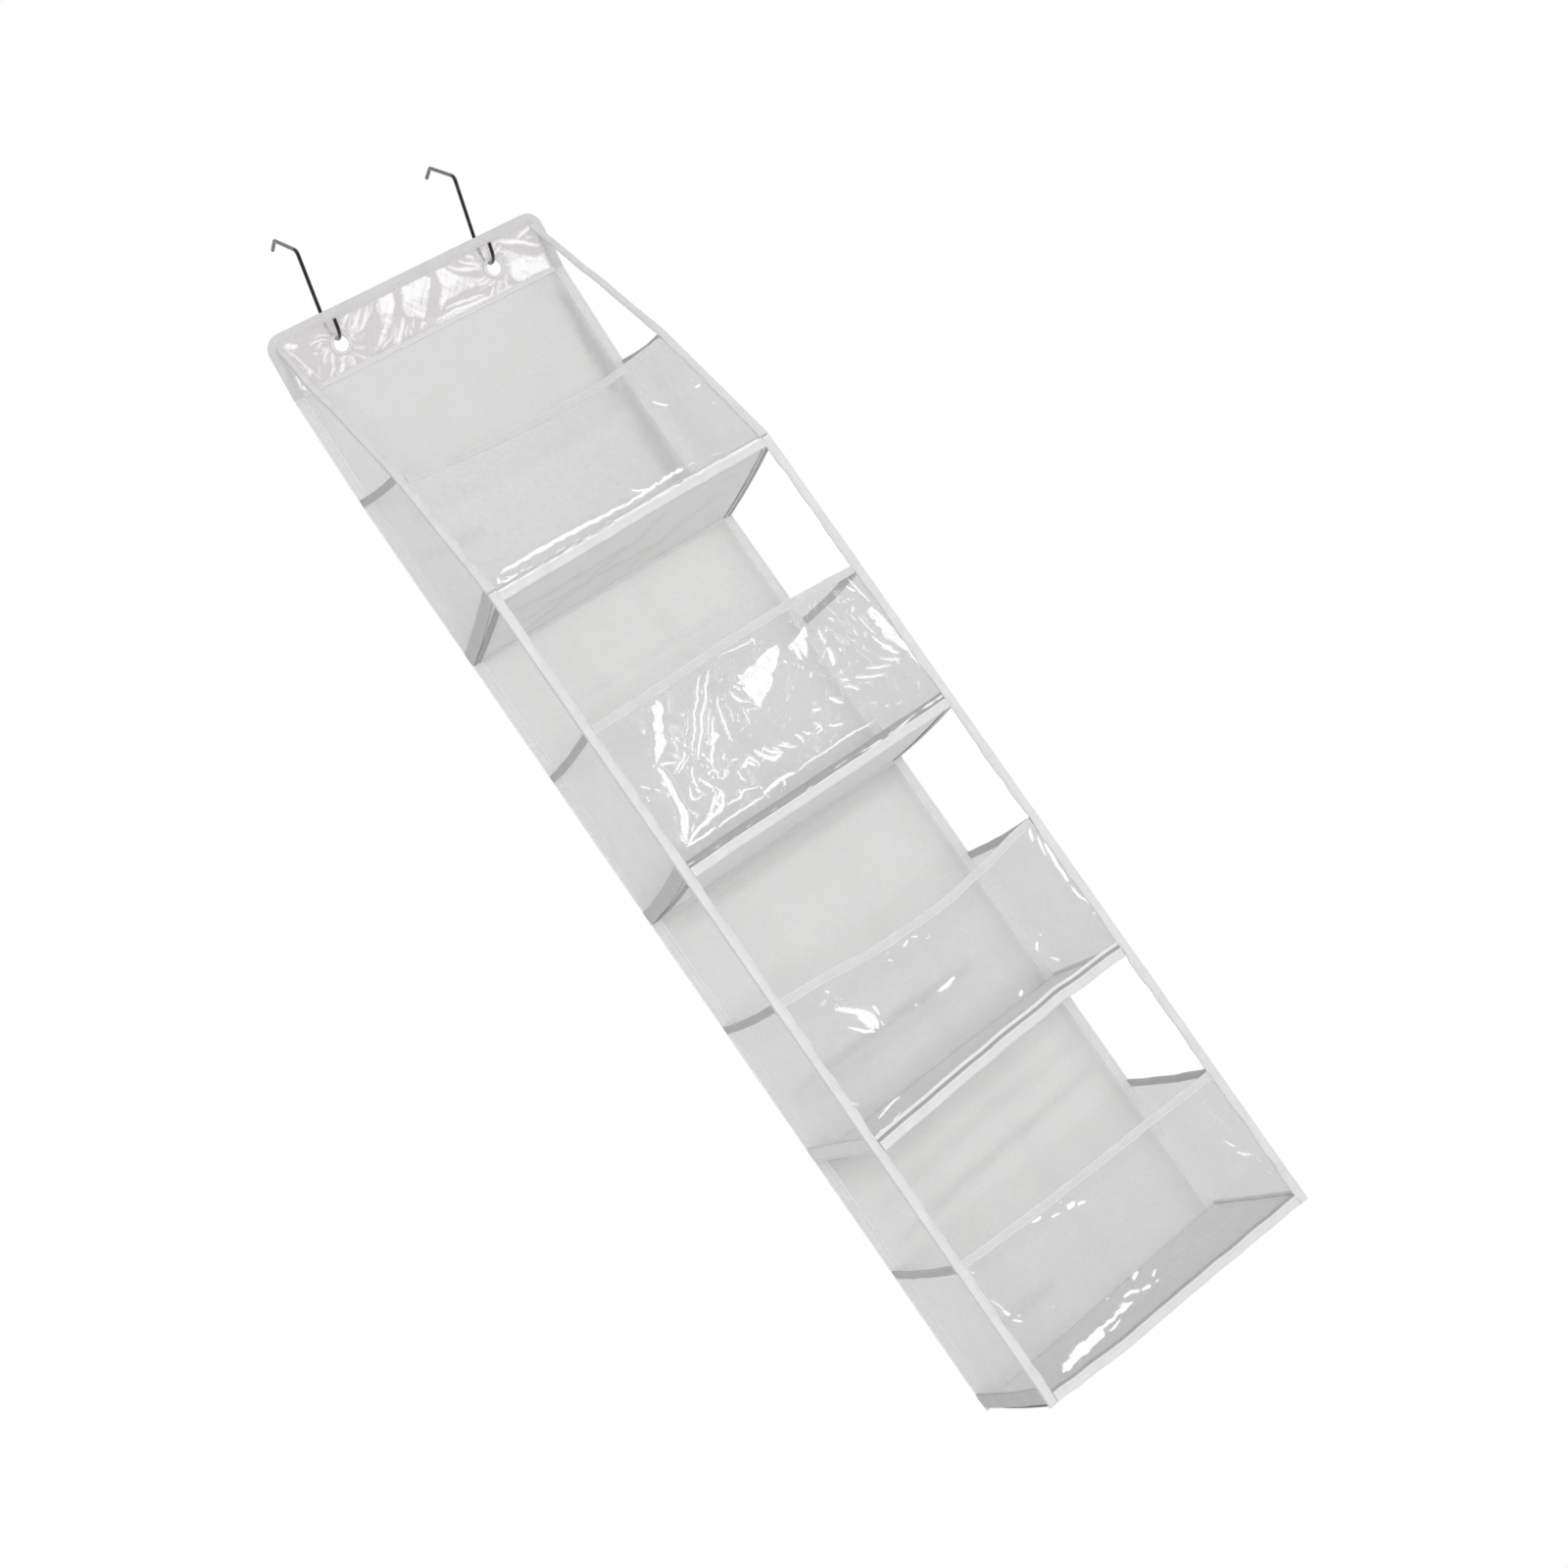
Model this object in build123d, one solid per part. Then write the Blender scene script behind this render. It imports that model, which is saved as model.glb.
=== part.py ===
from build123d import *
import os
from collections import namedtuple
from math import sin, cos, radians, hypot

# Hanging shoe organizer with four clear pockets, for the back of a door.
# Frame: X to the right seen from the front, Y towards the door, Z up.
# Origin: centre of the back panel's rear face, level with the lowest pocket's floor.
# All sizes in millimetres. Outline points are (y, z) pairs unless noted.

SIDES = (("left", -1), ("right", 1))

# ---- overall ----
WIDTH = 330.0            # across the back panel
DEPTH = 170.0            # rear face of the panel to the outside of the front films
HALF_W = WIDTH / 2.0
FRONT_Y = -DEPTH
FAR = 2000.0             # size of cutting blocks that reach past everything
THROUGH = 20.0           # length of cutters through the header
OVERCUT = 1.0            # how far a cutter overshoots the panel's rear face

# ---- sheet and tape ----
PANEL_T = 1.2            # two layers of non-woven fabric
FILM_T = 0.5             # clear film of the pockets
HEADER_FILM_T = 0.6
TAPE_T = 0.8             # folded tape, each side of an edge
TAPE_W = 10.0            # visible width of the tape
TAPE_SUNK = 0.6          # the tape presses this deep into the panel's rear
TAPE_OUT = 0.6           # tape past the nominal edge of panel and header
SHEET_INSET = 1.0        # side edges of panel and header film, inside the nominal edge
TAPE_GAP = 0.2           # clearance between neighbouring tapes
INNER_HALF_W = HALF_W - TAPE_W - TAPE_GAP     # half width between the side tapes

# ---- back panel ----
PANEL_BOTTOM_Z = -6.0
BINDING_BOTTOM_Z = PANEL_BOTTOM_Z - 1.5
BOTTOM_BINDING_TOP_Z = -1.0
LEAN_START = (0.0, 1082.0)       # the panel leans forward above here
KINK = (-12.0, 1204.0)           # the header starts here

# ---- header ----
HEADER_LEAN = radians(20.0)      # from the vertical
HEADER_H = 65.0
HEADER_R = 17.0                  # rounded top corners
HEADER_INNER_R = HEADER_R - TAPE_W + 1.0      # inner corners of its binding
HEADER_FILM_INSET = 1.3          # film's top edge below the header's
FLAP_H = 10.0                    # film below the kink
FLAP_CUT_UP = 1.2                # the narrow part of the film ends this far above the kink
BINDING_START = 1.0              # the binding starts this far along the header
HEADER_STACK = PANEL_T + HEADER_FILM_T + TAPE_T
FILM_MID = PANEL_T + HEADER_FILM_T / 2        # mid plane of film, in front of the header plane
HEADER_PLANE = Plane(origin=(0, *KINK), x_dir=(1, 0, 0),
                     z_dir=(0, -cos(HEADER_LEAN), -sin(HEADER_LEAN)))

EYELET_X = 93.6
EYELET_UP = 30.0                 # along the header from its lower edge
EYELET_R_IN = 8.0
EYELET_R_BARREL = 9.2
EYELET_R_OUT = 11.5
EYELET_H = 2.6
EYELET_FLANGE_T = 1.0

# ---- over-door hooks ----
HOOK_WIRE_R = 2.0
HOOK_J_R = 16.0                  # J bend through the eyelet
HOOK_CORNER_R = 5.0
HOOK_LEAN = radians(44.0)        # of the leg, forward from the vertical
HOOK_LEG = 76.0
HOOK_ARM = 52.0
HOOK_LIP = 21.0
HOOK_LIP_DROP = radians(40.0)    # lip from the arm's direction
HOOK_TIP = 10.0
HOOK_CLEARANCE = 0.4             # wire to the top of the eyelet's hole

# ---- straps at the front corners ----
STRAP_T = 2.6
STRAP_OUT = 2.2                  # past the panel's nominal edge
STRAP_BOTTOM_Z = -8.0
STRAP_ABOVE_FLOOR = 2.0          # top of the upright strap above pocket 1's floor
STRAP_RETURN = 8.0               # depth of the upright strap's side face
DIAGONAL_RETURN = 7.0            # the same for the diagonal strap
DIAGONAL_END_UP = 50.0           # its end, along the header
DIAGONAL_GAP = 0.1               # clearance to the header binding

# ---- pockets ----
# top of floor z, side rim at the panel z, top of front film z; pocket 1 at the top
POCKETS = [
    (886.0, 1082.0, 1054.0),
    (572.0, 745.0, 748.0),
    (288.0, 443.0, 445.0),
    (0.0, 151.0, 155.0),
]
FILM_DROP = 3.0                  # films reach this far below the floor's top
# rim_y: y of the rim; start: front's lower end above the floor; film_trim: cut off the
# film's lower end; rim_gap and base_gap: front ends of the side tapes, back from the front
Front = namedtuple("Front", "rim_y start film_trim rim_gap base_gap")
LEANING = Front(-124.0, 3.0, 1.4, 10.5, 11.0)               # pocket 1
UPRIGHT = Front(FRONT_Y, -FILM_DROP, 0.0, 8.6, 8.2)         # the others

FLOOR_T = 2.4                    # fabric-covered board
FLOOR_HALF_W = 160.0
FLOOR_REAR_Y = -2.5              # rear crease
FLOOR_FRONT_Y = -166.0           # front crease
FLOOR_MID_Y = (FLOOR_REAR_Y + FLOOR_FRONT_Y) / 2.0

SIDE_REAR_Y = -PANEL_T - TAPE_T - TAPE_GAP    # rear edge of the side films
SIDE_FRONT_INSET = 0.8           # front edge of the side films behind the front
FRONT_RIM_H = TAPE_W - 1.0       # front rim tape below the film's edge
SIDE_RIM_H = TAPE_W - 2.0        # side rim tape below the film's edge
SIDE_RIM_REAR_GAP = 0.4
FLANGE_T = 2.4                   # front bottom binding: flange outside the film
FLANGE_UP, FLANGE_DOWN = 4.0, 8.0             # from the floor's top
ROLL_DEPTH = 3.4                 # its roll under the film
ROLL_GAP = 0.1
SIDE_BASE_T = 1.6                # tape along the bottom edge of a side
SIDE_BASE_H = 15.0


# ---- helpers ----
def save(shape, name):
    """Write one piece, unwrapped to a plain solid where it holds just one."""
    if isinstance(shape, (Part, Compound)) and len(shape.solids()) == 1:
        shape = shape.solids()[0]
    shape.label = name
    export_step(shape, "parts/" + name + ".step")


def x_span(sign, inner, outer):
    """X range between two distances from the middle, on one side."""
    return sorted((sign * inner, sign * outer))


def block(x0, x1, y0, y1, z0, z1):
    centre = Pos((x0 + x1) / 2, (y0 + y1) / 2, (z0 + z1) / 2)
    return centre * Box(x1 - x0, y1 - y0, z1 - z0)


def prism(outline, x0, x1):
    """A closed YZ outline extruded from x0 to x1."""
    face = make_face(Polyline([(x0, y, z) for y, z in outline + outline[:1]]))
    return extrude(face, amount=x1 - x0, dir=(1, 0, 0))


def offset_line(path, distance):
    """YZ polyline moved to its left: the front of an upward run, the top of a rearward one."""
    normals = []
    for (y0, z0), (y1, z1) in zip(path, path[1:]):
        length = hypot(y1 - y0, z1 - z0)
        normals.append((-(z1 - z0) / length, (y1 - y0) / length))
    moved = []
    for (y, z), before, after in zip(path, normals[:1] + normals, normals + normals[-1:]):
        mitre = distance / (1 + before[0] * after[0] + before[1] * after[1])
        moved.append((y + (before[0] + after[0]) * mitre, z + (before[1] + after[1]) * mitre))
    return moved


def strip(path, back, front, x0, x1):
    """A sheet that follows a YZ polyline, between two offsets, from x0 to x1."""
    return prism(offset_line(path, back) + offset_line(path, front)[::-1], x0, x1)


def toward(start, end, distance):
    """The point this far from start on the line to end."""
    share = distance / hypot(end[0] - start[0], end[1] - start[1])
    return (start[0] + (end[0] - start[0]) * share, start[1] + (end[1] - start[1]) * share)


def header_point(up, forward):
    """(y, z) of a point up along the header and forward of its rear."""
    return (KINK[0] - up * sin(HEADER_LEAN) - forward * cos(HEADER_LEAN),
            KINK[1] + up * cos(HEADER_LEAN) - forward * sin(HEADER_LEAN))


# ---- back panel and its bindings ----
def side_binding_strip(sign, back, front):
    path = [(0.0, BINDING_BOTTOM_Z), LEAN_START, KINK]
    return strip(path, back, front, *x_span(sign, HALF_W - TAPE_W, HALF_W + TAPE_OUT))


def back_panel():
    """Panel with its rear recessed for the tape, so that the back is flat."""
    path = [(0.0, PANEL_BOTTOM_Z), LEAN_START, KINK]
    panel = strip(path, 0.0, PANEL_T, -HALF_W + SHEET_INSET, HALF_W - SHEET_INSET)
    for _, sign in SIDES:
        panel -= side_binding_strip(sign, -OVERCUT, TAPE_SUNK)
    return panel - block(-HALF_W, HALF_W, -TAPE_SUNK, OVERCUT,
                         BINDING_BOTTOM_Z, BOTTOM_BINDING_TOP_Z)


def panel_binding_bottom(panel):
    return block(-INNER_HALF_W, INNER_HALF_W, -PANEL_T - TAPE_T, 0.0,
                 BINDING_BOTTOM_Z, BOTTOM_BINDING_TOP_Z) - panel


# ---- header ----
def header_outline(half_width, bottom, top, radius):
    """Rectangle on the header plane with rounded top corners."""
    centre = HEADER_PLANE * Pos(0, (bottom + top) / 2, 0)
    outline = centre * Rectangle(2 * half_width, top - bottom)
    return fillet(outline.vertices().sort_by(Axis.Z)[-2:], radius)


def header_film():
    path = [toward(KINK, LEAN_START, FLAP_H), KINK,
            toward(header_point(HEADER_H, 0.0), KINK, HEADER_FILM_INSET)]
    half_width = HALF_W - SHEET_INSET
    film = strip(path, PANEL_T, PANEL_T + HEADER_FILM_T, -half_width, half_width)
    # the flap below the kink is narrower, to lie between the panel's side bindings
    for _, sign in SIDES:
        film -= block(*x_span(sign, INNER_HALF_W, FAR), -FAR, FAR, -FAR, KINK[1] + FLAP_CUT_UP)
    outline = header_outline(half_width, -40.0, HEADER_H - HEADER_FILM_INSET,
                             HEADER_R - HEADER_FILM_INSET)
    film = film & extrude(outline, amount=THROUGH, both=True)
    for _, sign in SIDES:
        hole = HEADER_PLANE * Pos(sign * EYELET_X, EYELET_UP, 0)
        film -= hole * Cylinder(EYELET_R_BARREL, THROUGH)
    return film


def header_binding(film):
    """Tape round the sides and top; its excess length at the bottom is cut off."""
    ring = header_outline(HALF_W + TAPE_OUT, -30.0, HEADER_H + TAPE_OUT, HEADER_R)
    ring -= header_outline(HALF_W - TAPE_W, -40.0, HEADER_H - TAPE_W, HEADER_INNER_R)
    tape = extrude(ring, amount=HEADER_STACK, dir=HEADER_PLANE.z_dir)
    tape -= extrude(ring, amount=PANEL_T - TAPE_T, dir=HEADER_PLANE.z_dir)
    below = HEADER_PLANE * Pos(0, BINDING_START - FAR / 2, 0) * Box(FAR, FAR, FAR)
    return tape - below - film


def eyelet(sign):
    here = HEADER_PLANE * Pos(sign * EYELET_X, EYELET_UP, FILM_MID)
    flange_at = (EYELET_H - EYELET_FLANGE_T) / 2
    ring = here * Cylinder(EYELET_R_BARREL, EYELET_H)
    for height in (flange_at, -flange_at):
        ring += here * Pos(0, 0, height) * Cylinder(EYELET_R_OUT, EYELET_FLANGE_T)
    return ring - here * Cylinder(EYELET_R_IN, THROUGH)


def hook(sign):
    """One bent wire; its J bend rests in the top of the eyelet."""
    bearing = EYELET_UP + EYELET_R_IN - HOOK_WIRE_R - HOOK_CLEARANCE
    centre_y, centre_z = header_point(bearing + HOOK_J_R, FILM_MID)

    def point(back, up):
        """From the centre of the J bend, back along the arm and up along the leg."""
        return (sign * EYELET_X,
                centre_y + back * cos(HOOK_LEAN) - up * sin(HOOK_LEAN),
                centre_z + back * sin(HOOK_LEAN) + up * cos(HOOK_LEAN))

    arm_back = HOOK_J_R + HOOK_ARM
    lip_end = point(arm_back + HOOK_LIP * cos(HOOK_LIP_DROP),
                    HOOK_LEG - HOOK_LIP * sin(HOOK_LIP_DROP))
    arm_end = point(arm_back, HOOK_LEG)
    leg_foot = point(HOOK_J_R, 0)
    tip_foot = point(-HOOK_J_R, 0)
    upper = FilletPolyline(lip_end, arm_end, point(HOOK_J_R, HOOK_LEG), leg_foot,
                           radius=HOOK_CORNER_R)
    bend = ThreePointArc(leg_foot, point(0, -HOOK_J_R), tip_foot)
    tip = Line(tip_foot, point(-HOOK_J_R, HOOK_TIP))
    wire = Wire(upper.edges() + bend.edges() + tip.edges())
    start = Plane(origin=lip_end, z_dir=Vector(*arm_end) - Vector(*lip_end))
    return sweep(start * Circle(HOOK_WIRE_R), path=wire, transition=Transition.RIGHT)


# ---- straps: an L section, across the front and round the side ----
def strap_spans(sign):
    outer = HALF_W + STRAP_OUT
    return x_span(sign, HALF_W - TAPE_W, outer), x_span(sign, HALF_W, outer)


def front_strap(sign):
    face, side = strap_spans(sign)
    heights = (STRAP_BOTTOM_Z, POCKETS[0][0] + STRAP_ABOVE_FLOOR)
    strap = block(*face, FRONT_Y - STRAP_T, FRONT_Y, *heights)
    return strap + block(*side, FRONT_Y, FRONT_Y + STRAP_RETURN, *heights)


def diagonal_strap(sign):
    """Up pocket 1's leaning front, then back to the front of the header."""
    face, side = strap_spans(sign)
    floor_z, _, rim_z = POCKETS[0]
    foot_z = floor_z + LEANING.start
    path = [(FRONT_Y, foot_z), (LEANING.rim_y, rim_z), header_point(DIAGONAL_END_UP, 0.0)]
    strap = strip(path, 0.0, STRAP_T, *face)
    strap += strip(path, -DIAGONAL_RETURN, 0.0, *side)
    strap -= block(-FAR, FAR, -FAR, FAR, -FAR, foot_z)
    behind = Pos(0, 0, HEADER_STACK + DIAGONAL_GAP - FAR / 2)
    return strap - HEADER_PLANE * behind * Box(FAR, FAR, FAR)


# ---- pockets ----
def floor_half(floor_z, y0, y1):
    return block(-FLOOR_HALF_W, FLOOR_HALF_W, y0, y1, floor_z - FLOOR_T, floor_z)


def front_film(foot, rim, front):
    half_width = HALF_W - FILM_T
    return strip([toward(foot, rim, front.film_trim), rim], -FILM_T, 0.0,
                 -half_width, half_width)


def front_rim(foot, rim, film):
    path = [toward(rim, foot, FRONT_RIM_H), toward(rim, foot, -TAPE_T)]
    return strip(path, -FILM_T - TAPE_T, TAPE_T, -INNER_HALF_W, INNER_HALF_W) - film


def front_bottom_binding(floor_z):
    """A flange outside the front film and a roll under it."""
    across = (-INNER_HALF_W, INNER_HALF_W)
    bottom = floor_z - FLANGE_DOWN
    tape = block(*across, FRONT_Y - FLANGE_T, FRONT_Y, bottom, floor_z + FLANGE_UP)
    return tape + block(*across, FRONT_Y, FRONT_Y + ROLL_DEPTH,
                        bottom, floor_z - FILM_DROP - ROLL_GAP)


def side_film(sign, floor_z, rear_top, front_top, front):
    front_y = FRONT_Y + SIDE_FRONT_INSET
    bottom = floor_z - FILM_DROP
    outline = [(SIDE_REAR_Y, bottom), rear_top, front_top, (front_y, floor_z + front.start)]
    if front is LEANING:
        outline.append((front_y, bottom))
    return prism(outline, *x_span(sign, HALF_W - FILM_T, HALF_W))


def side_rim(sign, rear_top, front_top, front, film):
    path = [toward(front_top, rear_top, front.rim_gap),
            toward(rear_top, front_top, SIDE_RIM_REAR_GAP)]
    across = x_span(sign, HALF_W - FILM_T - TAPE_T, HALF_W + TAPE_T)
    tape = strip(path, -SIDE_RIM_H, TAPE_T, *across)
    return tape - film - block(-FAR, FAR, SIDE_REAR_Y, FAR, -FAR, FAR)


def side_bottom_binding(sign, floor_z, front):
    bottom = floor_z - FILM_DROP
    return block(*x_span(sign, HALF_W, HALF_W + SIDE_BASE_T),
                 FRONT_Y + front.base_gap, SIDE_REAR_Y, bottom, bottom + SIDE_BASE_H)


def save_pocket(number, floor_z, rear_z, front_z):
    name = f"pocket_{number}_"
    front = LEANING if number == 1 else UPRIGHT
    foot = (FRONT_Y, floor_z + front.start)
    rim = (front.rim_y, front_z)
    save(floor_half(floor_z, FLOOR_MID_Y, FLOOR_REAR_Y), name + "floor_rear")
    save(floor_half(floor_z, FLOOR_FRONT_Y, FLOOR_MID_Y), name + "floor_front")
    film = front_film(foot, rim, front)
    save(film, name + "front_film")
    save(front_rim(foot, rim, film), name + "front_rim")
    save(front_bottom_binding(floor_z), name + "front_bottom_binding")
    rear_top = (SIDE_REAR_Y, rear_z)
    front_top = (front.rim_y + SIDE_FRONT_INSET, front_z)
    for side, sign in SIDES:
        film = side_film(sign, floor_z, rear_top, front_top, front)
        save(film, name + "side_film_" + side)
        save(side_rim(sign, rear_top, front_top, front, film), name + "side_rim_" + side)
        save(side_bottom_binding(sign, floor_z, front), name + "side_bottom_binding_" + side)


os.makedirs("parts", exist_ok=True)
panel = back_panel()
save(panel, "back_panel")
save(panel_binding_bottom(panel), "panel_binding_bottom")
clear_header = header_film()
save(clear_header, "header_film")
save(header_binding(clear_header), "header_binding")
for side, sign in SIDES:
    save(side_binding_strip(sign, 0.0, PANEL_T + TAPE_T) - panel, "panel_binding_" + side)
    save(eyelet(sign), "eyelet_" + side)
    save(hook(sign), "hook_" + side)
    save(front_strap(sign), "front_strap_" + side)
    save(diagonal_strap(sign), "diagonal_strap_" + side)
for number, levels in enumerate(POCKETS, start=1):
    save_pocket(number, *levels)
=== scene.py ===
# A hanging shoe organizer: cloth back panel, four clear film pockets, taped edges, and a clear
# header with two eyelets and two wire hooks. x runs across, z is up, the back panel stands near
# y = 0 and the pockets reach forward to negative y. Pocket 1 is the one whose front leans back
# to the panel. Lengths are millimetres; meshes, lights and camera are in metres.
import bpy
import math
from types import SimpleNamespace

import numpy as np
from mathutils import Matrix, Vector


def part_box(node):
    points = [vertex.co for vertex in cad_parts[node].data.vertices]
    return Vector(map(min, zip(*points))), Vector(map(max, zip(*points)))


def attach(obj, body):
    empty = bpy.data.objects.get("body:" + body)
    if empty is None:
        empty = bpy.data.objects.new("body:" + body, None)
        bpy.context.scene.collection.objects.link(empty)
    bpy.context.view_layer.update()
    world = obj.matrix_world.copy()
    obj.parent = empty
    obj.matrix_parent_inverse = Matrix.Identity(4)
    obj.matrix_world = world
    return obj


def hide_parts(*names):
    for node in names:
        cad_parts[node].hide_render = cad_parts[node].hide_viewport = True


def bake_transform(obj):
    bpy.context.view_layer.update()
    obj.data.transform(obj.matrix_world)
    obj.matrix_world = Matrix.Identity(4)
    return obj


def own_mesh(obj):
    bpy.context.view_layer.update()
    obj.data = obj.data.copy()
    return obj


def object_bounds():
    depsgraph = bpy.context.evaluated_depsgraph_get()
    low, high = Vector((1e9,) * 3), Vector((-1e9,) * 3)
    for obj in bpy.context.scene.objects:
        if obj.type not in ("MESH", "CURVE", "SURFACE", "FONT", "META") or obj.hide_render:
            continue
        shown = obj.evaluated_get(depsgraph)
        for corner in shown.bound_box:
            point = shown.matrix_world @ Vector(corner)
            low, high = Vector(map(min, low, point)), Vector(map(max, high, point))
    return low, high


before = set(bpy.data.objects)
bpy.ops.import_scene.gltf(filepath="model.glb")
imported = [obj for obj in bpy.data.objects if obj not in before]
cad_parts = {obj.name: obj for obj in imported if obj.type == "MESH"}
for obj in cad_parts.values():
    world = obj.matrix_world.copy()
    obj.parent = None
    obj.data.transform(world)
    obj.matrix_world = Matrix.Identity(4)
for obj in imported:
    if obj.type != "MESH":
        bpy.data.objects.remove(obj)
CAD_BOX = [list(corner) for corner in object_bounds()]
SIDES = ((-1, "left"), (1, "right"))


# ---------------------------------------------------------------- sizes taken from the CAD parts
def box(name):
    """Lowest and highest corner of a CAD piece."""
    low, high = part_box(name)
    return np.array(low) * 1000.0, np.array(high) * 1000.0


def read_pocket(number):
    rear_low, rear_high = box(f"pocket_{number}_floor_rear")
    rim_piece = "front_rim" if number == 1 else "front_film"
    return SimpleNamespace(
        number=number,
        floor_z=rear_high[2],
        board=rear_high[2] - rear_low[2],
        half=rear_high[0],
        rear_y=rear_high[1],
        crease_y=rear_low[1],
        front_y=box(f"pocket_{number}_floor_front")[0][1],
        rim_z=box(f"pocket_{number}_{rim_piece}")[1][2],
        rear_z=box(f"pocket_{number}_side_rim_right")[1][2])


POCKETS = {number: read_pocket(number) for number in (1, 2, 3, 4)}
DEPTH = -box("pocket_2_front_film")[0][1]
SIDE_TAPE_LOW, SIDE_TAPE_HIGH = box("panel_binding_right")
EDGE = SIDE_TAPE_HIGH[0]               # outside of the panel's side tape
TAPE_IN = SIDE_TAPE_LOW[0]             # inside of it
TAPE_WIDTH = EDGE - TAPE_IN
FILM_HALF = EDGE - 0.6
PANEL_LOW, PANEL_HIGH = box("back_panel")
STRAP_LOW, STRAP_HIGH = box("front_strap_right")
STRAP_OUT = STRAP_HIGH[0]
STRAP_IN = STRAP_OUT - 9.4
FRONT_TAPE_HALF = STRAP_IN - 0.3       # front tapes end just inside the corner straps
CORNER_X = 165.0                       # where the sag and rise curves end

# Sag of each front rim and rise of each front lower edge: (x, dz)
SAG = {
    1: [(-165, -6), (-133, -10), (-104, -13), (-60, -15.5), (-14, -18), (20, -18.5), (60, -17.5),
        (111, -12), (135, -8), (165, -3)],
    2: [(-165, -3), (-120, -2), (-88, -1), (0, 1.5), (60, 1.5), (110, 0), (165, -3)],
    3: [(-165, -2), (-123, -5), (-68, -12), (-30, -15), (10, -16), (50, -14.5), (96, -9),
        (128, -3), (165, -1)],
    4: [(-165, 2), (-110, -1), (-69, -3), (-12, -5), (78, -7), (165, -9)],
}
RISE = {
    1: [(-165, 9), (-35, 11), (86, 12), (165, 11)],
    2: [(-165, 13), (-37, 13), (82, 12), (165, 12)],
    3: [(-165, -5), (-97, -2), (-11, 1.5), (79, 3.5), (165, 1)],
    4: [(-165, 13), (-126, 10), (-75, 6.5), (-13, 5), (78, 3), (165, 0)],
}

# Back panel and header. The panel leans forward above LEAN_Z and meets the header at KINK.
LEAN_Z = 1082.0 if PANEL_HIGH[2] > 1100 else PANEL_HIGH[2] * 0.9
KINK = np.array((0.0, -12.0, 1204.0))
PANEL_LINE = [(0.0, 0.0, PANEL_LOW[2]), (0.0, 0.0, LEAN_Z), (0.0, KINK[1], KINK[2])]
HEADER_TILT = math.radians(20.0)
HEADER_UP = np.array((0.0, -math.sin(HEADER_TILT), math.cos(HEADER_TILT)))
HEADER_OUT = np.array((0.0, -math.cos(HEADER_TILT), -math.sin(HEADER_TILT)))
HEADER_HEIGHT = 65.0
HEADER_CORNER = 17.0                   # radius of its upper corners
EYE_LOW, EYE_HIGH = box("eyelet_right")
EYE_X = (EYE_LOW[0] + EYE_HIGH[0]) / 2
EYE_V = 30.0                           # up the header from the kink

# Pocket 1's front: upright to the knee, leaning back to the bend, then steeper to the top
KNEE_Z = POCKETS[1].floor_z + 3.0 + 11.0
BEND_Y, BEND_Z = -124.0, 1054.0
TOP_Y, TOP_Z = -31.0, 1251.0
LEAN_DY, LEAN_DZ = BEND_Y + DEPTH, BEND_Z - KNEE_Z
LEAN_LENGTH = math.hypot(LEAN_DY, LEAN_DZ)
LEAN_UP = (0, LEAN_DY / LEAN_LENGTH, LEAN_DZ / LEAN_LENGTH)
LEAN_OUT = np.array((0.0, -LEAN_DZ / LEAN_LENGTH, LEAN_DY / LEAN_LENGTH))


def smooth_curve(points, x):
    """Value at x of a line through the points, its corners rounded over 41 samples."""
    places, values = np.array(points, float).T
    fine = np.linspace(places[0], places[-1], 331)
    kernel = np.hanning(41)
    kernel /= kernel.sum()
    padded = np.pad(np.interp(fine, places, values), 20, mode="edge")
    return np.interp(x, fine, np.convolve(padded, kernel, mode="valid"))


def sag(number, x):
    return smooth_curve(SAG[number], x)


def rise(number, x):
    return smooth_curve(RISE[number], x)


def top_front(z):
    """Pocket 1's front: its y, and how far its edges have come in, at height z."""
    z = np.asarray(z, float)
    y = -DEPTH + np.maximum(z - KNEE_Z, 0) * LEAN_DY / LEAN_DZ
    upper = BEND_Y + (z - BEND_Z) * (TOP_Y - BEND_Y) / (TOP_Z - BEND_Z)
    inset = np.interp(z, [KNEE_Z, BEND_Z, KINK[2], TOP_Z], [0.0, 4.5, 8.0, 10.5])
    return np.where(z > BEND_Z, upper, y), inset


def edge_lift(number, x, y):
    """Rise of a pocket's lower side edge at depth y."""
    return rise(number, x) * np.clip(-y / DEPTH, 0, 1) ** 1.6


def board_lift(number, x, y):
    """The board stays lower than the front tape, so that it clears the film when folded."""
    up = rise(number, x)
    return np.where(up > 0, np.maximum(up - 4.0, 0.0), up) * np.clip(-y / DEPTH, 0, 1) ** 2


def header_point(u, v, w):
    """Point u across, v up the header from the kink and w out from its face."""
    u, v, w = np.broadcast_arrays(*(np.asarray(value, float) for value in (u, v, w)))
    across = u[..., None] * np.array((1.0, 0, 0))
    return KINK + across + v[..., None] * HEADER_UP + w[..., None] * HEADER_OUT


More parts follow.
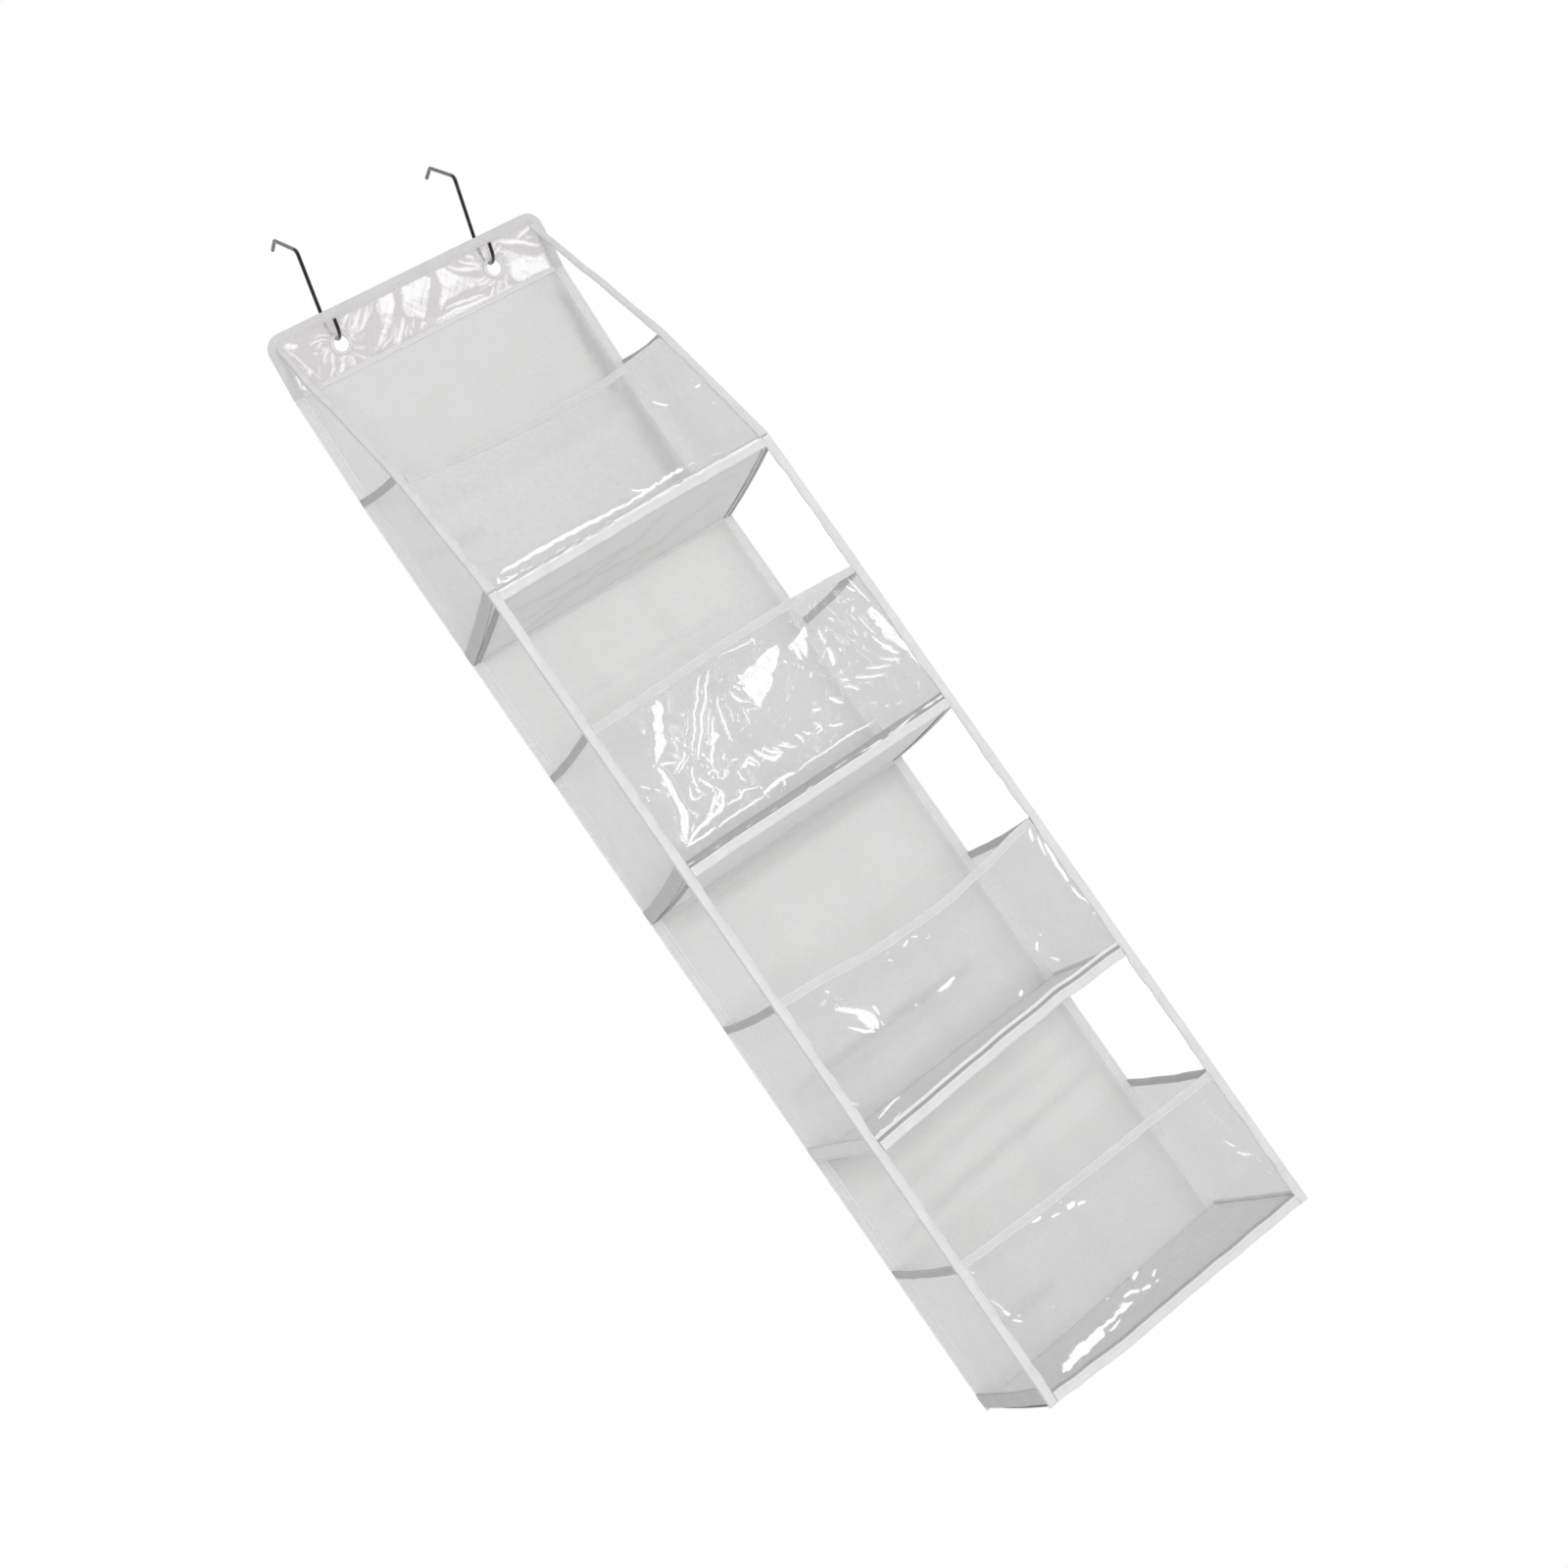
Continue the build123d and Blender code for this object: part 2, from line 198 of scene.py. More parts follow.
# ---------------------------------------------------------------- seeded noise
class Waves:
    """A seeded sum of sine waves over (u, v), about -2..2 with rms 1."""

    def __init__(self, seed, count, shortest, longest):
        rng = np.random.RandomState(seed)
        angle = rng.uniform(0, 2 * np.pi, count)
        length = np.exp(rng.uniform(np.log(shortest), np.log(longest), count))
        self.waves = np.stack([np.cos(angle), np.sin(angle)], 1) * (2 * np.pi / length)[:, None]
        self.phases = rng.uniform(0, 2 * np.pi, count)
        self.sizes = length / length.max() * rng.uniform(0.6, 1.0, count)
        self.sizes /= np.sqrt((self.sizes ** 2).sum() / 2)

    def __call__(self, u, v):
        out = np.zeros(np.broadcast(u, v).shape)
        for (wave_u, wave_v), phase, size in zip(self.waves, self.phases, self.sizes):
            out += size * np.sin(wave_u * u + wave_v * v + phase)
        return out


def waves_along(run, seed, count, shortest, longest):
    return Waves(seed, count, shortest, longest)(run, 0 * run)


def smoothstep(start, end, x):
    t = np.clip((x - start) / (end - start), 0, 1)
    return t * t * (3 - 2 * t)


def ridges(seed, u, v, count, shortest, longest, warp=6.0):
    """Sharp crests in seeded directions, in patches."""
    rng = np.random.RandomState(seed)
    warp_u, warp_v = Waves(seed + 11, 5, 40, 110), Waves(seed + 12, 5, 40, 110)
    bent_u, bent_v = u + warp * warp_u(u, v), v + warp * warp_v(u, v)
    out = np.zeros(np.broadcast(u, v).shape)
    for j in range(count):
        angle = rng.uniform(0, np.pi)
        length = np.exp(rng.uniform(np.log(shortest), np.log(longest)))
        phase = rng.uniform(0, 2 * np.pi)
        mask = smoothstep(0.1, 1.3, Waves(seed * 7 + j, 4, 50, 140)(u, v))
        run = (np.cos(angle) * bent_u + np.sin(angle) * bent_v) * np.pi / length + phase
        out += mask * length * 0.035 * (1 - np.abs(np.sin(run))) ** 1.6
    return out


# ---------------------------------------------------------------- folds and patches in sheets
def read_shapes(text):
    """Each line of a table is 'numbers: u,v u,v ...'; it becomes (points, *numbers)."""
    shapes = []
    for line in text.strip().splitlines():
        numbers, places = line.split(":")
        points = [tuple(float(c) for c in place.split(",")) for place in places.split()]
        shapes.append((points, *(float(number) for number in numbers.split())))
    return shapes


def stroke_distance(points, u, v):
    """Distance to a polyline, 0..1 along it, and the side of it."""
    best = np.full(u.shape, 1e9)
    along = np.zeros(u.shape)
    side = np.zeros(u.shape)
    lengths = [math.hypot(b[0] - a[0], b[1] - a[1]) for a, b in zip(points, points[1:])]
    total, run = sum(lengths), 0.0
    for a, b, length in zip(points, points[1:], lengths):
        du, dv = (b[0] - a[0]) / length, (b[1] - a[1]) / length
        t = np.clip((u - a[0]) * du + (v - a[1]) * dv, 0, length)
        off_u, off_v = u - a[0] - t * du, v - a[1] - t * dv
        distance = np.hypot(off_u, off_v)
        near = distance < best
        best = np.where(near, distance, best)
        along = np.where(near, (run + t) / total, along)
        side = np.where(near, np.sign(du * off_v - dv * off_u), side)
        run += length
    return best, along, side


def soften(points):
    """Two rounds of corner cutting, so that a fold bends softly."""
    if len(points) < 3:
        return points
    for _ in range(2):
        cut = [points[0]]
        for a, b in zip(points, points[1:]):
            cut.append((a[0] * .75 + b[0] * .25, a[1] * .75 + b[1] * .25))
            cut.append((a[0] * .25 + b[0] * .75, a[1] * .25 + b[1] * .75))
        points = cut + [points[-1]]
    return points


def near_points(points, u, v, margin):
    us, vs = [p[0] for p in points], [p[1] for p in points]
    return ((u > min(us) - margin) & (u < max(us) + margin)
            & (v > min(vs) - margin) & (v < max(vs) + margin))


def fold_relief(strokes, u, v, seed, wobble=1.2):
    """Height of folds and their painted light, highlight on film and shade on cloth: (points, width,
    height, white[, width of the white]).
    """
    relief = np.zeros(u.shape)
    white = np.zeros(u.shape)
    noise = Waves(seed + 77, 6, 9, 30)
    bent_u, bent_v = u + wobble * noise(u, v), v + wobble * noise(v, u)
    for points, width, height, whiteness, *more in strokes:
        reach = more[0] if more else max(width * 0.42, 1.15)
        points = soften(points)
        near = near_points(points, u, v, max(width * 4, reach * 3) + 4)
        if not near.any():
            continue
        distance, t, side = stroke_distance(points, bent_u[near], bent_v[near])
        taper = np.sqrt(np.clip(4 * t * (1 - t), 0, 1)) * 0.75
        taper = taper + 0.25 * (np.minimum(t, 1 - t) > 0.02)
        crest = np.exp(-(distance / width) ** 1.35)
        relief[near] += height * taper * crest * (1 + 0.35 * side)
        glow = whiteness * taper * np.exp(-(distance / reach) ** 2)
        white[near] = np.maximum(white[near], glow)
    return relief, white


def patch_relief(patches, u, v):
    """Height and painted highlight of flat patches: (corners, height, white, softness of the edge).
    """
    relief = np.zeros(u.shape)
    white = np.zeros(u.shape)
    for corners, height, whiteness, soft in patches:
        near = near_points(corners, u, v, 9)
        if not near.any():
            continue
        a, b = u[near], v[near]
        inside = np.zeros(a.shape, bool)
        for (x0, y0), (x1, y1) in zip(corners, corners[1:] + corners[:1]):
            if y0 != y1:
                crossing = (x1 - x0) * (b - y0) / (y1 - y0) + x0
                inside ^= ((y0 > b) != (y1 > b)) & (a < crossing)
        distance = stroke_distance(corners + corners[:1], a, b)[0]
        distance = np.where(inside, distance, -distance)
        relief[near] += height * smoothstep(-3.0, 3.5, distance)
        glow = whiteness * smoothstep(-soft, soft, distance)
        white[near] = np.maximum(white[near], glow)
    return relief, white


def random_folds(seed, count, u_range, v_range, lean, height, white):
    """Curved strokes 10 to 60 long, most of them near the angle lean."""
    rng = np.random.RandomState(seed)
    strokes = []
    for _ in range(count):
        if rng.rand() < 0.35:
            angle = rng.uniform(0, 2 * np.pi)
        else:
            angle = lean + rng.normal(0, 0.35)
        length = np.exp(rng.uniform(np.log(10), np.log(60)))
        x, y = rng.uniform(*u_range), rng.uniform(*v_range)
        bend = rng.normal(0, 0.5)
        points = [(x, y)]
        for _ in range(4):
            x += length / 4 * math.cos(angle)
            y += length / 4 * math.sin(angle)
            angle += bend / 4 + rng.normal(0, 0.12)
            points.append((x, y))
        strokes.append((points, rng.uniform(0.9, 2.4), rng.choice([-1, 1]) * rng.uniform(*height),
                        max(0.0, rng.uniform(*white))))
    return strokes


# ---------------------------------------------------------------- meshes
def points_of(x, y, z):
    return np.stack(np.broadcast_arrays(x, y, z), -1)


def run_lengths(path):
    """Distance from the start at every point of a path."""
    return np.concatenate([[0], np.cumsum(np.linalg.norm(np.diff(path, axis=0), axis=1))])


def resample(points, step):
    """Even points along a polyline, and their distances from its start."""
    points = np.asarray(points, float)
    run = run_lengths(points)
    count = max(2, int(round(run[-1] / step)) + 1)
    even = np.linspace(0, run[-1], count)
    return np.stack([np.interp(even, run, points[:, k]) for k in range(3)], 1), even


def smooth_path(path, rounds):
    path = path.copy()
    for _ in range(rounds):
        path[1:-1] = 0.5 * path[1:-1] + 0.25 * (path[:-2] + path[2:])
    return path


def directions(path):
    along = np.gradient(path, axis=0)
    return along / np.linalg.norm(along, axis=1, keepdims=True)


def frames(path, across):
    """Unit side and normal along a path; the side lies as near to across as it can."""
    along = directions(path)
    side = np.broadcast_to(np.asarray(across, float), along.shape)
    side = side - (side * along).sum(1, keepdims=True) * along
    side = side / np.linalg.norm(side, axis=1, keepdims=True)
    return side, np.cross(along, side)


def ripple(path, direction, seed, amount, shortest=18, longest=70):
    """Waves along a path that die out at its ends."""
    run = run_lengths(path)
    ends = smoothstep(0, 8, run) * smoothstep(0, 8, run[-1] - run)
    wave = waves_along(run, seed, 5, shortest, longest)
    return path + direction * (amount * wave * ends)[:, None]


def grid_faces(rows, columns, flip=False):
    index = np.arange(rows * columns).reshape(rows, columns)
    corners = [index[:-1, :-1], index[:-1, 1:], index[1:, 1:], index[1:, :-1]]
    quads = np.stack(corners, -1).reshape(-1, 4)
    return quads[:, ::-1] if flip else quads


def grid_normals(grid):
    normal = np.cross(np.gradient(grid, axis=1), np.gradient(grid, axis=0))
    return normal / np.maximum(np.linalg.norm(normal, axis=-1, keepdims=True), 1e-9)


def add_object(name, data):
    made = bpy.data.objects.new(name, data)
    bpy.context.scene.collection.objects.link(made)
    return made


class Piece:
    """Vertices, faces, material numbers, flat coordinates and painted light (shade on cloth,
    highlight on film) of one object.
    """

    def __init__(self):
        self.vertices, self.faces, self.materials, self.flat, self.painted_lights = [], [], [], [], []
        self.count = 0

    def add(self, vertices, faces, material=0, flat=None, painted_light=None):
        vertices = np.asarray(vertices, float).reshape(-1, 3)
        count = len(vertices)
        flat = np.zeros((count, 2)) if flat is None else np.asarray(flat, float).reshape(-1, 2)
        painted_light = np.zeros(count) if painted_light is None else np.asarray(painted_light, float).reshape(-1)
        self.vertices.append(vertices)
        self.faces.extend([tuple(int(a) + self.count for a in face) for face in faces])
        self.materials.extend([material] * len(faces))
        self.flat.append(flat)
        self.painted_lights.append(painted_light)
        self.count += count

    def shell(self, grid, thickness, flat, painted_light):
        """Closed thin shell round a grid of middle points; one whole face comes first."""
        rows, columns = grid.shape[:2]
        size = rows * columns
        thickness = np.broadcast_to(np.asarray(thickness, float), (rows, columns))[..., None]
        offset = grid_normals(grid) * thickness / 2
        faces = [tuple(quad) for quad in grid_faces(rows, columns)]
        faces += [tuple(quad + size) for quad in grid_faces(rows, columns, True)]
        index = np.arange(size).reshape(rows, columns)
        loop = [*index[0, :], *index[1:, -1], *index[-1, -2::-1], *index[-2:0:-1, 0]]
        for a, b in zip(loop, loop[1:] + loop[:1]):
            faces.append((b, a, a + size, b + size))
        both = np.concatenate([(grid + offset).reshape(-1, 3), (grid - offset).reshape(-1, 3)])
        self.add(both, faces, 0, np.concatenate([flat.reshape(-1, 2)] * 2),
                 np.concatenate([painted_light.reshape(-1)] * 2))

    def band(self, path, side, normal, section, material=0, run=None):
        """Section (a along side, b along normal; one, or one per point) swept along a path."""
        count = len(path)
        section = np.asarray(section, float)
        size = section.shape[-2]
        section = np.broadcast_to(section, (count, size, 2))
        vertices = (path[:, None, :] + section[..., 0:1] * side[:, None, :]
                    + section[..., 1:2] * normal[:, None, :])
        # faces turn outward according to the handedness of the frame and the section's turn
        hand = np.dot(np.cross(side[0], normal[0]), path[1] - path[0])
        a, b = section[0][:, 0], section[0][:, 1]
        turn = (a * np.roll(b, -1) - np.roll(a, -1) * b).sum()
        order = -1 if hand * turn < 0 else 1
        index = np.arange(count * size).reshape(count, size)
        faces = []
        for i in range(count - 1):
            for j in range(size):
                k = (j + 1) % size
                quad = (index[i, j], index[i, k], index[i + 1, k], index[i + 1, j])
                faces.append(quad[::order])
        faces.append(tuple(index[0, ::-1])[::order])
        faces.append(tuple(index[-1, :])[::order])
        run = run_lengths(path) if run is None else run
        flat = np.stack([np.repeat(run, size), section[..., 0].reshape(-1)], 1)
        self.add(vertices, faces, material, flat)

    def build(self, name, materials, sharp_angle=50):
        mesh = bpy.data.meshes.new(name)
        mesh.from_pydata((np.concatenate(self.vertices) / 1000.0).tolist(), [], self.faces)
        for material in materials:
            mesh.materials.append(material)
        mesh.polygons.foreach_set("material_index", np.array(self.materials, np.int32))
        mesh.polygons.foreach_set("use_smooth", np.ones(len(self.faces), bool))
        flat = np.concatenate(self.flat)
        flat = np.concatenate([flat, np.zeros((len(flat), 1))], 1).astype(np.float32)
        mesh.attributes.new("st", "FLOAT_VECTOR", "POINT").data.foreach_set("vector", flat.ravel())
        # painted light: per point, painted shade on cloth and painted highlight on film
        painted_lights = np.clip(np.concatenate(self.painted_lights), 0, 1).astype(np.float32)
        mesh.attributes.new("painted_light", "FLOAT", "POINT").data.foreach_set("value", painted_lights)
        mesh.update()
        if sharp_angle:
            mesh.set_sharp_from_angle(angle=math.radians(sharp_angle))
        return add_object(name, mesh)


def place(piece, body, replaces=(), slot="binding_tape"):
    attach(piece, body)
    if replaces:
        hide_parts(*replaces)


def stitches(piece, path, side, normal, offset, height, seed):
    """A row of thread stitches (material 1), offset along side and standing at height."""
    pitch, length, radius = 3.4, 2.3, 0.34
    run = run_lengths(path)
    total = run[-1]
    rng = np.random.RandomState(seed)
    ring = np.arange(6) * math.pi / 3
    base = np.array([(0, 0, 0)] + [(t, math.cos(a), math.sin(a)) for t in (0.22, 0.78) for a in ring]
                    + [(1, 0, 0)])
    around = [(j, (j + 1) % 6) for j in range(6)]
    faces = [(0, 1 + k, 1 + j) for j, k in around]
    faces += [(1 + j, 1 + k, 7 + k, 7 + j) for j, k in around]
    faces += [(13, 7 + j, 7 + k) for j, k in around]
    offset = np.broadcast_to(np.asarray(offset, float), (len(run),))

    def between(values, distance):
        return np.array([np.interp(distance, run, values[:, k]) for k in range(3)])

    def at(distance):
        across, out = between(side, distance), between(normal, distance)
        shift = np.interp(distance, run, offset) + rng.uniform(-0.08, 0.08)
        return between(path, distance) + across * shift + out * height, across, out

    made = []
    for number in range(int(total / pitch)):
        start = (number + 0.5) * pitch + rng.uniform(-0.2, 0.2) - length / 2
        start = max(start, 0.3)
        end = min(start + length, total - 0.3)
        first, across, out = at(start)
        last = at(end)[0]
        if np.linalg.norm(last - first) < 0.6:
            continue
        made.append(first[None] + base[:, 0:1] * (last - first)[None]
                    + radius * base[:, 1:2] * across[None] + radius * 0.8 * base[:, 2:3] * out[None])
    a, b, c = (made[0][k] for k in faces[0])
    if np.dot(np.cross(b - a, c - a), a - made[0].mean(0)) < 0:    # turn the faces outward
        faces = [face[::-1] for face in faces]
    size = len(base)
    faces = [tuple(k + size * n for k in face) for n in range(len(made)) for face in faces]
    piece.add(np.concatenate(made), faces, 1)


def crown(x, width, thickness):
    """How far a tape's face falls off at x from its middle."""
    return 0.12 * (2 * x / width) ** 2 * thickness


def groove_at(x, middle):
    return math.exp(-((x - middle) / 0.7) ** 2)


def tape_section(width, top, bottom, grooves=()):
    """Rounded flat section with a groove along each seam."""
    half = width / 2
    across = np.linspace(-half, half, 11)[1:-1]
    edge = min(0.35, (top - bottom) / 2 * 0.9)
    shoulder = top - 2 * edge if top - 2 * edge > bottom + 0.05 else (top + bottom) / 2
    section = [(-half, shoulder), (-half + 0.3 * edge, top - 0.35 * edge)]
    for x in across:
        height = top - crown(x, width, top - bottom)
        for groove in grooves:
            height -= 0.3 * groove_at(x, groove)
        section.append((x, height))
    section += [(half - 0.3 * edge, top - 0.35 * edge), (half, shoulder)]
    section += [(half - 0.3 * edge, bottom + 0.1 * edge)]
    section += [(x, bottom) for x in across[::-1]]
    section += [(-half + 0.3 * edge, bottom + 0.1 * edge)]
    return np.array(section)


# ---------------------------------------------------------------- materials
class Shader:
    """Builds the nodes of a material or world."""

    def __init__(self, owner):
        owner.use_nodes = True
        self.owner, self.tree = owner, owner.node_tree
        self.tree.nodes.clear()

    def node(self, kind, inputs=(), output=0, **settings):
        """Adds a node and returns one of its outputs, or all of them for None."""
        made = self.tree.nodes.new("ShaderNode" + kind)
        for name, value in settings.items():
            setattr(made, name, value)
        for name, value in dict(inputs).items():
            if isinstance(value, bpy.types.NodeSocket):
                self.tree.links.new(value, made.inputs[name])
            else:
                made.inputs[name].default_value = value
        return made.outputs if output is None else made.outputs[output]

    def math(self, operation, a, b=0.0, clamp=False):
        return self.node("Math", {0: a, 1: b}, operation=operation, use_clamp=clamp)

    def plus(self, a, b, clamp=False):
        return self.math("ADD", a, b, clamp)

    def times(self, a, b, clamp=False):
        return self.math("MULTIPLY", a, b, clamp)

    def remap(self, value, source, target, **settings):
        ranges = {"From Min": source[0], "From Max": source[1],
                  "To Min": target[0], "To Max": target[1]}
        return self.node("MapRange", {"Value": value, **ranges}, **settings)

    def noise(self, vector, **inputs):
        return self.node("TexNoise", {"Vector": vector, **inputs})

    def attribute(self, name, output):
        return self.node("Attribute", output=output, attribute_name=name)

    def mix_colour(self, factor, a, b):
        return self.node("Mix", {0: factor, 6: a, 7: b}, 2, data_type="RGBA")

    def mix_shader(self, factor, a, b):
        return self.node("MixShader", {0: factor, 1: a, 2: b})

    def tinted(self, light, warm=0.0):
        red, blue = self.times(light, 1 + warm), self.times(light, 1 - warm)
        return self.node("CombineColor", {0: red, 1: light, 2: blue})

    def bump(self, height, strength, distance, **more):
        inputs = {"Height": height, "Strength": strength, "Distance": distance, **more}
        return self.node("Bump", inputs)

    def principled(self, colour, roughness, normal, more=()):
        inputs = {"Base Color": colour, "Roughness": roughness, "Normal": normal, **dict(more)}
        return self.node("BsdfPrincipled", inputs)

    def finish(self, surface, kind="OutputMaterial"):
        self.node(kind, {"Surface": surface}, None)
        return self.owner


def new_shader(name):
    return Shader(bpy.data.materials.new(name))


def grey(value):
    return (value, value, value, 1.0)


WHITE = grey(1)


def fabric_material(name, base, spread):
    """Spun-bonded cloth: small pressed points in rows, loose fibres, cloudy density."""
    s = new_shader(name)
    flat = s.attribute("st", "Vector")
    dots = s.node("TexVoronoi", {"Vector": flat, "Scale": 0.42, "Randomness": 0.12}, feature="F1")
    pit = s.remap(dots, (0.16, 0.36), (1.0, 0.0))
    stretched = s.node("Mapping", {"Vector": flat, "Scale": (1.0, 0.22, 1.0)})
    fibre = s.noise(stretched, Scale=1.1, Detail=5.0, Roughness=0.7, Distortion=1.2)
    cloud = s.noise(flat, Scale=0.028, Detail=4.0, Roughness=0.6)
    fine = s.noise(flat, Scale=0.16, Detail=3.0, Roughness=0.55)
    tone = s.plus(s.remap(cloud, (0.3, 0.7), (-spread, spread)),
                  s.remap(fine, (0.3, 0.7), (-spread * 0.6, spread * 0.6)))
    tone = s.plus(tone, s.remap(fibre, (0.35, 0.65), (-0.02, 0.02)))
    tone = s.math("SUBTRACT", tone, s.times(pit, 0.035))
    light = s.plus(tone, base)
    painted_light = s.attribute("painted_light", "Fac")
    light = s.plus(light, s.times(painted_light, -0.21))          # painted shade: darkens the cloth along folds, beside the right tape, near the top and under the floors
    colour = s.tinted(light, warm=0.004)
    relief = s.plus(s.times(pit, -0.6), s.times(fibre, 0.5))
    soft = s.noise(flat, Scale=0.06, Detail=2.0)
    broad = s.bump(soft, strength=0.35, distance=0.0012)
    normal = s.bump(relief, strength=0.55, distance=0.00028, Normal=broad)
    roughness = s.remap(pit, (0, 1), (0.78, 0.5))
    return s.finish(s.principled(colour, roughness, normal, {
        "Specular IOR Level": 0.35, "Sheen Weight": 0.25, "Sheen Roughness": 0.5}))


def tape_material(name, base, rib=1.5, edge=0.0, relief=0.5):
    """Ribbed tape; rib is the pitch, edge the half width at which a lighter band along each edge
    ends.
    """
    s = new_shader(name)
    flat = s.attribute("st", "Vector")
    parts = s.node("SeparateXYZ", {"Vector": flat}, None)
    wobble = s.noise(flat, Scale=0.25, Detail=2.0)
    along = s.plus(parts[0], s.times(wobble, 1.2))
    ribs = s.math("SINE", s.times(along, 2 * math.pi / rib))
    threads = s.math("SINE", s.times(parts[1], 2 * math.pi / 0.8))
    cloud = s.noise(flat, Scale=0.045, Detail=4.0, Roughness=0.6)
    fuzz = s.noise(flat, Scale=1.6, Detail=3.0)
    light = s.plus(base, s.remap(cloud, (0.3, 0.7), (-0.035, 0.035)))
    light = s.plus(light, s.times(ribs, 0.014))
    light = s.plus(light, s.remap(fuzz, (0.3, 0.7), (-0.015, 0.015)))
    if edge:
        from_middle = s.math("ABSOLUTE", parts[1])
        light = s.plus(light, s.remap(from_middle, (edge - 1.3, edge), (-0.02, 0.075)))
    colour = s.tinted(light)
    height = s.plus(s.times(ribs, 0.6), s.plus(s.times(threads, 0.25), s.times(fuzz, 0.6)))
    normal = s.bump(height, strength=relief, distance=0.00022)
    return s.finish(s.principled(colour, 0.62, normal,
                                 {"Specular IOR Level": 0.4, "Sheen Weight": 0.15}))


def thread_material(name, base):
    s = new_shader(name)
    position = s.node("NewGeometry", output="Position")
    twist = s.node("TexWave", {"Vector": position, "Scale": 900.0, "Distortion": 1.0}, "Fac",
                   wave_type="BANDS", bands_direction="DIAGONAL")
    colour = s.mix_colour(twist, grey(base * 0.82), grey(base))
    normal = s.bump(twist, strength=0.4, distance=0.0001)
    return s.finish(s.principled(colour, 0.5, normal, {"Sheen Weight": 0.2}))


def film_material(name, haze, tint=(0.985, 0.985, 0.987), gloss=0.07, crinkle=0.2,
                  crinkle_scale=0.11, sheen=1.0, pink=0.0, white_range=(0.2, 0.5),
                  white_gain=0.9):
    """Clear vinyl: a sheen that grows at a slant, faint haze, painted highlights that glow white on
    its folds.

    white_range is the span of painted light over which the film turns white, up to white_gain."""
    s = new_shader(name)
    flat = s.attribute("st", "Vector")
    painted_light = s.attribute("painted_light", "Fac")
    wrinkles = s.noise(flat, Scale=crinkle_scale, Detail=4.0, Roughness=0.55, Distortion=0.8)
    cells = s.node("TexVoronoi", {"Vector": flat, "Scale": crinkle_scale * 0.55,
                                  "Randomness": 1.0}, feature="F1")
    height = s.plus(wrinkles, s.times(cells, 0.35))
    normal = s.bump(height, strength=0.6, distance=0.0016 * crinkle)
    facing = s.node("LayerWeight", {"Blend": 0.5, "Normal": normal}, "Facing")
    mirror = s.plus(0.045 * sheen, s.times(s.math("POWER", facing, 4.0), 0.7 * sheen), clamp=True)
    glossy = s.node("BsdfGlossy", {"Color": WHITE, "Roughness": gloss, "Normal": normal})
    clear = s.node("BsdfTransparent", {"Color": (*tint, 1.0)})
    film = s.mix_shader(mirror, clear, glossy)
    scuff = s.noise(flat, Scale=0.03, Detail=5.0, Roughness=0.65)
    cloudy = s.times(haze, s.remap(scuff, (0.3, 0.75), (0.35, 1.9)))
    breaks = s.noise(flat, Scale=0.5, Detail=3.0, Roughness=0.7)
    ragged = s.times(painted_light, s.remap(breaks, (0.35, 0.62), (0.62, 1.12)))
    white = s.remap(ragged, white_range, (0.0, white_gain), interpolation_type="SMOOTHSTEP")
    white = s.times(white, 1.0, clamp=True)
    amount = s.plus(cloudy, white, clamp=True)
    hazy = (0.82 + pink, 0.82 - pink * 0.6, 0.82 - pink * 0.3, 1)
    # painted highlight: the milky part turns white along the marked folds
    tone = s.mix_colour(s.times(painted_light, 1.0, clamp=True), hazy, WHITE)
    milky = s.node("BsdfDiffuse", {"Color": tone, "Normal": normal})
    translucent = s.node("BsdfTranslucent", {"Color": tone})
    body = s.mix_shader(0.35, milky, translucent)
    # painted highlight: the white marks glow
    glint = s.node("Emission", {"Color": WHITE, "Strength": 1.05})
    bright = s.mix_shader(s.times(white, 0.85, clamp=True), body, glint)
    final = s.mix_shader(amount, film, bright)
    # the film throws almost no shadow
    ray = s.node("LightPath", output=None)
    passing = s.math("MAXIMUM", ray["Is Shadow Ray"], ray["Is Diffuse Ray"])
    window = s.node("BsdfTransparent", {"Color": grey(0.985)})
    return s.finish(s.mix_shader(passing, final, window))


def plastic_material(name):
    s = new_shader(name)
    position = s.node("NewGeometry", output="Position")
    mottle = s.noise(position, Scale=160.0, Detail=3.0)
    normal = s.bump(mottle, strength=0.15, distance=0.0003)
    colour = s.mix_colour(mottle, grey(0.80), grey(0.92))
    return s.finish(s.principled(colour, 0.22, normal, {
        "IOR": 1.5, "Coat Weight": 0.4, "Coat Roughness": 0.1, "Alpha": 0.82}))


def chrome_material(name):
    """Bright-drawn plated wire with fine draw marks and a painted reflection: dark in the middle,
    light at the edges.
    """
    s = new_shader(name)
    position = s.node("NewGeometry", output="Position")
    drawn = s.node("Mapping", {"Vector": position, "Scale": (900.0, 900.0, 60.0)})
    lines = s.noise(drawn, Scale=1.0, Detail=3.0)
    spots = s.noise(position, Scale=220.0, Detail=4.0, Roughness=0.7)
    facing = s.node("LayerWeight", {"Blend": 0.5}, "Facing")
    # painted reflection: the colour runs from dark where the wire faces the camera to light at its
    # edges
    mirror = s.mix_colour(s.math("POWER", facing, 1.6), grey(0.025), grey(0.55))
    brown = (0.30, 0.24, 0.18, 1)
    colour = s.mix_colour(s.remap(spots, (0.55, 0.75), (0.0, 0.35)), mirror, brown)
    normal = s.bump(lines, strength=0.12, distance=0.0002)
    roughness = s.remap(spots, (0.3, 0.7), (0.1, 0.24))
    return s.finish(s.principled(colour, roughness, normal, {"Metallic": 1.0}))


